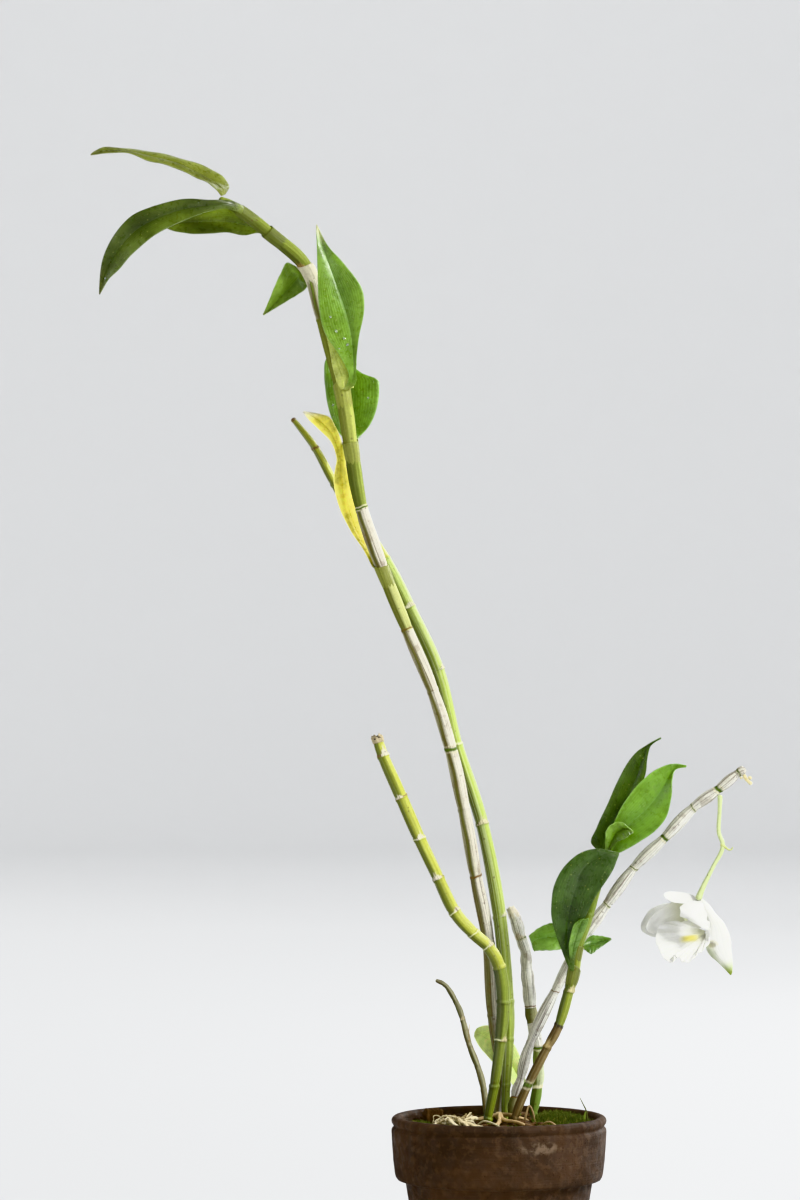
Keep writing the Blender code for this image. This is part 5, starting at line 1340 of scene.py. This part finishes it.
class ORCHID_OT_roots(bpy.types.Operator):
    """Adds the tangle of pale dry roots and the tan roots that creep between the canes"""
    bl_idname = "orchid.roots"
    bl_label = "Roots"

    def execute(self, context):
        """Sends curved roots out of each knot, each with its own bend, lift and tone."""
        draw = np.random.default_rng(ROOT_SEED)
        finish = stem_finish("root_skin", tone((108, 84, 52)), 0.4, 0.7)
        tangle = []
        for index in range(8):
            angle = 2 * math.pi * index / 8
            bend = angle + draw.uniform(0.4, 0.9)
            reach = 13 * draw.uniform(0.75, 1.0)
            lift = draw.uniform(0.5, 3.0)
            tangle.append((self.spot(angle, reach, reach), self.spot(bend, reach, reach), 1.1, lift))
        for index in range(30):
            angle = draw.uniform(0, 2 * math.pi)
            reach = draw.uniform(5, 13)
            bend = angle + draw.uniform(-2.4, 2.4)
            tangle.append((self.spot(angle, 1.5 * reach, 1.1 * reach), self.spot(bend, reach, 0.8 * reach),
                           draw.uniform(0.28, 0.6), draw.uniform(1.5, 5.5)))
        root_piece("root_tangle", ROOT_KNOT, tangle, ((164, 146, 104), (232, 222, 186)), finish,
                   "pale_roots", draw)
        creeping = [(middle, end, 1.1, 0.6) for middle, end in RHIZOME_ROOTS]
        root_piece("creeping_roots", RHIZOME_KNOT, creeping, ((150, 124, 84), (200, 176, 132)), finish,
                   "rhizome_roots", draw)
        strands = [tube_patch(rows, 10, (0, 1, 0), colour, 5, lumps=0.1) for colour, rows in STRANDS]
        make_piece("loose_strands", strands, finish)
        return {"FINISHED"}

    def spot(self, angle, wide, deep):
        """A place on an ellipse round the pale roots' knot."""
        return ROOT_KNOT[0] + wide * math.cos(angle), ROOT_KNOT[1] + deep * math.sin(angle)


class ORCHID_OT_canes(bpy.types.Operator):
    """Adds the seven canes with their nodes, rings, papery skins and leaf sheaths"""
    bl_idname = "orchid.canes"
    bl_label = "Canes"

    def execute(self, context):
        """Makes each cane by the same formula from its own row of numbers."""
        vein = np.array(context.scene.orchid_colours.vein)
        for name, looks in CANE_LOOKS.items():
            dry = looks[0] in ("papery_cane", "withered_cane")
            finish = stem_finish(looks[0], vein, 0.8, 0.7 if dry else 0.34, WAX.get(looks[0], 0.0))
            make_piece(name + "_fine", [cane_patch(name, 54)], finish, (name,))
        held = [(*leaf[:3], 11, 3.0, TALL_SHEATHS.get(leaf[1], TALL_SHEATHS["other"])) for leaf in LEAVES.values()
                if leaf[0] == "tall_leafy_cane" and leaf[1] < 17]
        stem_finish("sheath_skin", vein, 0.3, 0.42)
        for name, slot, skin, rows in (
                ("tall_cane_sheaths", "papery_cane", "sheath_skin", held),
                ("shoot_sheaths", "shoot_skin", "shoot_skin", SHOOT_SHEATHS),
                ("dry_sheath_ends", "papery_cane", "papery_cane", DRY_SHEATHS)):
            make_piece(name, [sheath_patch(*row) for row in rows], FINISHES[skin], wall=0.25)
        return {"FINISHED"}


class ORCHID_OT_leaves(bpy.types.Operator):
    """Adds every leaf of the tall cane and of the shoot, and the pale leaf that rises from the soil"""
    bl_idname = "orchid.leaves"
    bl_label = "Leaves"

    def execute(self, context):
        """Lays each blade along its own midrib, from its seat on the cane."""
        wall = context.scene.orchid_sizes.leaf_thickness / MM
        beads = []
        for name, leaf in LEAVES.items():
            slot, rows = leaf[3:]
            points, u, v = folded_grid(rows)
            finish = leaf_finish(slot, 20.0 if slot == "leaf_bright" else 16.0, 0.26, (176, 180, 110))
            patches = [patch(points, fields={"skin": leaf_skin(u, v, LEAF_COLOURS[name])})]
            if name == "bright_folded_leaf":
                funnel, u, v = folded_grid(LEAF_FUNNEL, 40, 20, 0.2, 0.1)
                patches.append(patch(funnel, fields={"skin": np.broadcast_to(tone((186, 196, 96)), funnel.shape)}))
            if name == "shoot_front_leaf":
                flap, u, v = folded_grid(FRONT_FLAP, 36, 20, 0.2, 0.1)
                patches.append(patch(flap, fields={"skin": leaf_skin(u, v, FLAP_COLOURS)}))
            make_piece(name + "_fine", patches, finish, (name,), wall)
            beads += [self.drop(points, *where) for under, *where in DROPS if under == name]
        make_piece("water_drops", beads, water_finish())
        pale, u, v = folded_grid(BASAL_LEAF)
        make_piece("basal_leaf_fine", [patch(pale, fields={"skin": leaf_skin(u, v, LEAF_COLOURS["basal_leaf"])})],
                   leaf_finish("leaf_pale", 14.0, 0.36, (210, 220, 160)), ("basal_leaf",), wall)
        return {"FINISHED"}

    def drop(self, points, x, z, radius):
        """A drop at the leaf's point nearest to a place, flattened along the leaf's face there."""
        apart = np.hypot(points[..., 0] - x, points[..., 2] - z)
        row, column = np.unravel_index(np.argmin(apart), apart.shape)
        row, column = min(max(row, 1), len(points) - 2), min(max(column, 1), points.shape[1] - 2)
        face = unit(np.cross(points[row, column + 1] - points[row, column - 1],
                             points[row + 1, column] - points[row - 1, column]))
        face = face * -np.sign(face[1])
        return closed(bead_patch(points[row, column] + 0.5 * face, face, radius))


class ORCHID_OT_flower(bpy.types.Operator):
    """Adds the flower stalk and the bloom: sepals, petals, lip, column and spur, and the old stub"""
    bl_idname = "orchid.flower"
    bl_label = "Flower"

    def execute(self, context):
        """Makes the stalk as a tube, the spur and column as tapered tubes, and the rest as blades."""
        colours = context.scene.orchid_colours
        wall = context.scene.orchid_sizes.petal_thickness / MM
        seat = node_seat("flowering_cane", STALK_NODE, STALK_LEAVES)
        stalk = ((seat[0], seat[1], seat[2] - 1.1, 1.2),) + STALK
        green = stem_finish("stalk_skin", tone((150, 120, 60)), 0.2, 0.42)
        bract = ((111.6, -6.2, 234.2, 1.0), (113.2, -6.6, 233.2, 0.65), (114.8, -7, 232, 0.45),
                 (116.2, -7, 232, 0.4),
                 (116.9, -7, 233, 0.3))
        make_piece("flower_stalk_fine", [tube_patch(stalk, 20, (0, 1, 0), (196, 208, 150), 8, lumps=0.03),
                                         tube_patch(bract, 12, (0, 1, 0), (196, 204, 132), 6)],
                   green, ("flower_stalk",))
        white = petal_finish("petal_white")
        petal = np.array(colours.petal)
        spur = tube_patch(SPUR, 64, (0, 1, 0), (240, 240, 232), 8)
        x, y, z = spur["verts"].T
        # the spur's green: its own at the tip, and on the lower inner edge at the front partly its own green and
        # partly painted shade
        front = 0.5 * (1 - ease(x + 0.5 * z, 196, 200.5)) * (1 - ease(z, 180, 190))
        share = np.maximum(1 - ease(z, 170, 178), front)
        skin = blend(petal, np.array(colours.spur_tip), share)
        # painted shade: the fold at the lip's foot is painted olive as well as pushed in
        around_pocket = np.hypot((x - POCKET[0]) / POCKET[2], (z - POCKET[1]) / POCKET[3])
        dent_and_shade = 0.6 * ((1 - ease(around_pocket, 0.55, 1.0)) * (y < -8))
        lip_edge = 0.5 * (np.exp(-((around_pocket - 1.12) / 0.16) ** 2) * (z > POCKET[1]) * (y < -8))
        skin = blend(blend(skin, tone((176, 172, 120)), dent_and_shade), tone((226, 222, 170)), lip_edge)
        spur["verts"][:, 1] += 1.4 * dent_and_shade
        spur["values"]["skin"] = skin
        make_piece("spur_fine", [spur], white, ("spur",))
        column = tube_patch(COLUMN, 24, (0, 1, 0), (214, 218, 180), 8)
        make_piece("column_fine", [column], white, ("column",))
        throat = np.array(colours.throat)
        for name, rows in PETALS.items():
            points = net_grid(rows)
            skin = np.broadcast_to(petal, points.shape)
            if name == "near_petal":
                u, v = np.linspace(0, 1, len(points))[:, None], np.linspace(-1, 1, points.shape[1])[None]
                wave = np.abs(v) ** 3 * np.sin(19 * u + 1.5 * v) * ease(u, 0.15, 0.4)
                points = points + wave[..., None] * np.array((0.45, -0.7, 0.5))
            if name == "far_petal":
                # the far petal's inner part, toward the column, takes the throat colour: partly its greenish inside
                # and partly painted shade
                skin = blend(skin, throat, 0.75 * ease(points[..., 0], 80, 94))
            if name == "far_sepal":
                # painted shade: the far sepal, behind the others, is darkened
                skin = skin * 0.8
            make_piece(name + "_fine", [patch(points, fields={"skin": skin})], white, (name,), wall)
        points, out = lip_grid()
        # the lip near the throat takes the throat colour: partly its own greenish inside and partly painted shade
        skin = blend(petal, throat, 0.7 * (1 - ease(out, 0.1, 0.55)))
        tilted = points[..., 2] - 187.2 - 0.12 * (points[..., 0] - 95)
        callus = 0.85 * np.exp(-((points[..., 0] - 95.2) / 4.2) ** 4 - (tilted / 1.5) ** 4)
        skin = blend(skin, np.array(colours.callus), callus)
        points = points + callus[..., None] * np.array((0, -0.7, 0.4))
        make_piece("lip_fine", [patch(points, fields={"skin": skin})], white, ("lip",), wall)
        stub = stem_finish("stub_skin", tone((120, 98, 60)), 0.6, 0.7)
        parts = [tube_patch(OLD_STUB, 14, (0, 1, 0), (226, 214, 160), 6, lumps=0.15)]
        for x, z, radius in ((125.6, 267.9, 1.0), (125.7, 265.3, 1.05), (121.2, 267.9, 0.7)):
            bud = bead_patch((x, -6.9 if x > 122 else -6, z), (0.3, -0.2, 1), radius, 0.85)
            fields = {"skin": np.broadcast_to(tone((236, 226, 176)), bud.shape), "fibre": bud * MM,
                      "paper": np.full(bud.shape[:2], 0.3)}
            parts.append(closed(bud, fields))
        make_piece("old_stub_fine", parts, stub, ("old_flower_stub",))
        return {"FINISHED"}


class ORCHID_OT_stage(bpy.types.Operator):
    """Adds the pale floor that rises into a round wall, the soft lights and the camera"""
    bl_idname = "orchid.stage"
    bl_label = "Stage, lights and camera"

    def execute(self, context):
        """Turns the floor's section round the axis, then stands the soft lights and the camera."""
        colour = context.scene.orchid_colours.backdrop
        tree = blank("backdrop", Specular_IOR_Level=0.1)
        cloud = use("mottle", places(tree)[1], Scale=0.8)
        soft = (cloud["Value"] * 0.08).mix(tuple(colour), tuple(c * 1.1 for c in colour))
        made = dress("backdrop", soft, cloud["Fine"].spread(0.0, 1.0, 0.88, 0.95))
        bend = np.radians(np.linspace(0, 90, 24))
        radius = np.concatenate([[10], np.linspace(400, 4500, 8), 4600 + 1600 * np.sin(bend), [WALL, WALL]])
        height = np.concatenate([np.zeros(9), 1600 * (1 - np.cos(bend)), [5000, 9000]])
        part = patch(turned(radius, height, circle(96)), True, (True, False))
        mesh = bpy.data.meshes.new("floor")
        faces = sum((group.tolist() for group, spots in part["faces"]), [])
        mesh.from_pydata((part["verts"] * MM).tolist(), [], faces)
        mesh.materials.append(made)
        mesh.flip_normals()
        mesh.shade_smooth()
        floor = bpy.data.objects.new("floor", mesh)
        context.scene.collection.objects.link(floor)
        world = bpy.data.worlds.new("soft_room")
        world.use_nodes = True
        world.node_tree.nodes["Background"].inputs["Color"].default_value = (1.0, 1.0, 1.0, 1.0)
        world.node_tree.nodes["Background"].inputs["Strength"].default_value = 0.3
        context.scene.world = world
        context.scene.view_settings.view_transform = "Khronos PBR Neutral"
        for name, spot, power, size, aim in LIGHTS:
            lamp = bpy.data.lights.new(name, "AREA")
            lamp.energy, lamp.size = power, size
            way = np.array(aim) - np.array(spot)
            tilt, turn = math.atan2(math.hypot(way[0], way[1]), -way[2]), math.atan2(way[1], way[0])
            self.stand(context, lamp, name, spot, (tilt, 0, turn - math.pi / 2))
        camera = bpy.data.cameras.new("photo_camera")
        camera.lens, camera.sensor_width, camera.clip_end = LENS, 36, 50
        bpy.context.scene.camera = self.stand(context, camera, "photo_camera", CAMERA_SPOT, (math.pi / 2, 0, 0))
        return {"FINISHED"}

    def stand(self, context, data, name, spot, turn):
        """Stands a light or the camera at its spot, turned its way."""
        holder = bpy.data.objects.new(name, data)
        holder.location, holder.rotation_euler = spot, turn
        context.scene.collection.objects.link(holder)
        return holder


class ORCHID_PT_pieces(bpy.types.Panel):
    """Lists the sizes, the colours and a button for each group of pieces"""
    bl_idname = "ORCHID_PT_pieces"
    bl_label = "Potted Orchid"
    bl_space_type = "VIEW_3D"
    bl_region_type = "UI"
    bl_category = "Orchid"

    def draw(self, context):
        """Draws every property, then every operator in its order."""
        for group in (context.scene.orchid_sizes, context.scene.orchid_colours):
            column = self.layout.column(align=True)
            for key in group.__annotations__:
                column.prop(group, key)
        for operator in OPERATORS:
            self.layout.operator(operator.bl_idname)


OPERATORS = (
    ORCHID_OT_stage, ORCHID_OT_pot, ORCHID_OT_soil, ORCHID_OT_moss, ORCHID_OT_roots, ORCHID_OT_canes,
    ORCHID_OT_leaves, ORCHID_OT_flower)
CLASSES = (OrchidSizes, OrchidColours) + OPERATORS + (ORCHID_PT_pieces,)


def register():
    """Registers every class and hangs the property groups on the scene."""
    for made in CLASSES:
        bpy.utils.register_class(made)
    bpy.types.Scene.orchid_sizes = bpy.props.PointerProperty(type=OrchidSizes)
    bpy.types.Scene.orchid_colours = bpy.props.PointerProperty(type=OrchidColours)


def unregister():
    """Removes the property groups and every class."""
    del bpy.types.Scene.orchid_colours
    del bpy.types.Scene.orchid_sizes
    for made in reversed(CLASSES):
        bpy.utils.unregister_class(made)


def main():
    """Builds the whole scene."""
    register()
    for operator in OPERATORS:
        group, name = operator.bl_idname.split(".")
        getattr(getattr(bpy.ops, group), name)()


if __name__ == "__main__":
    main()
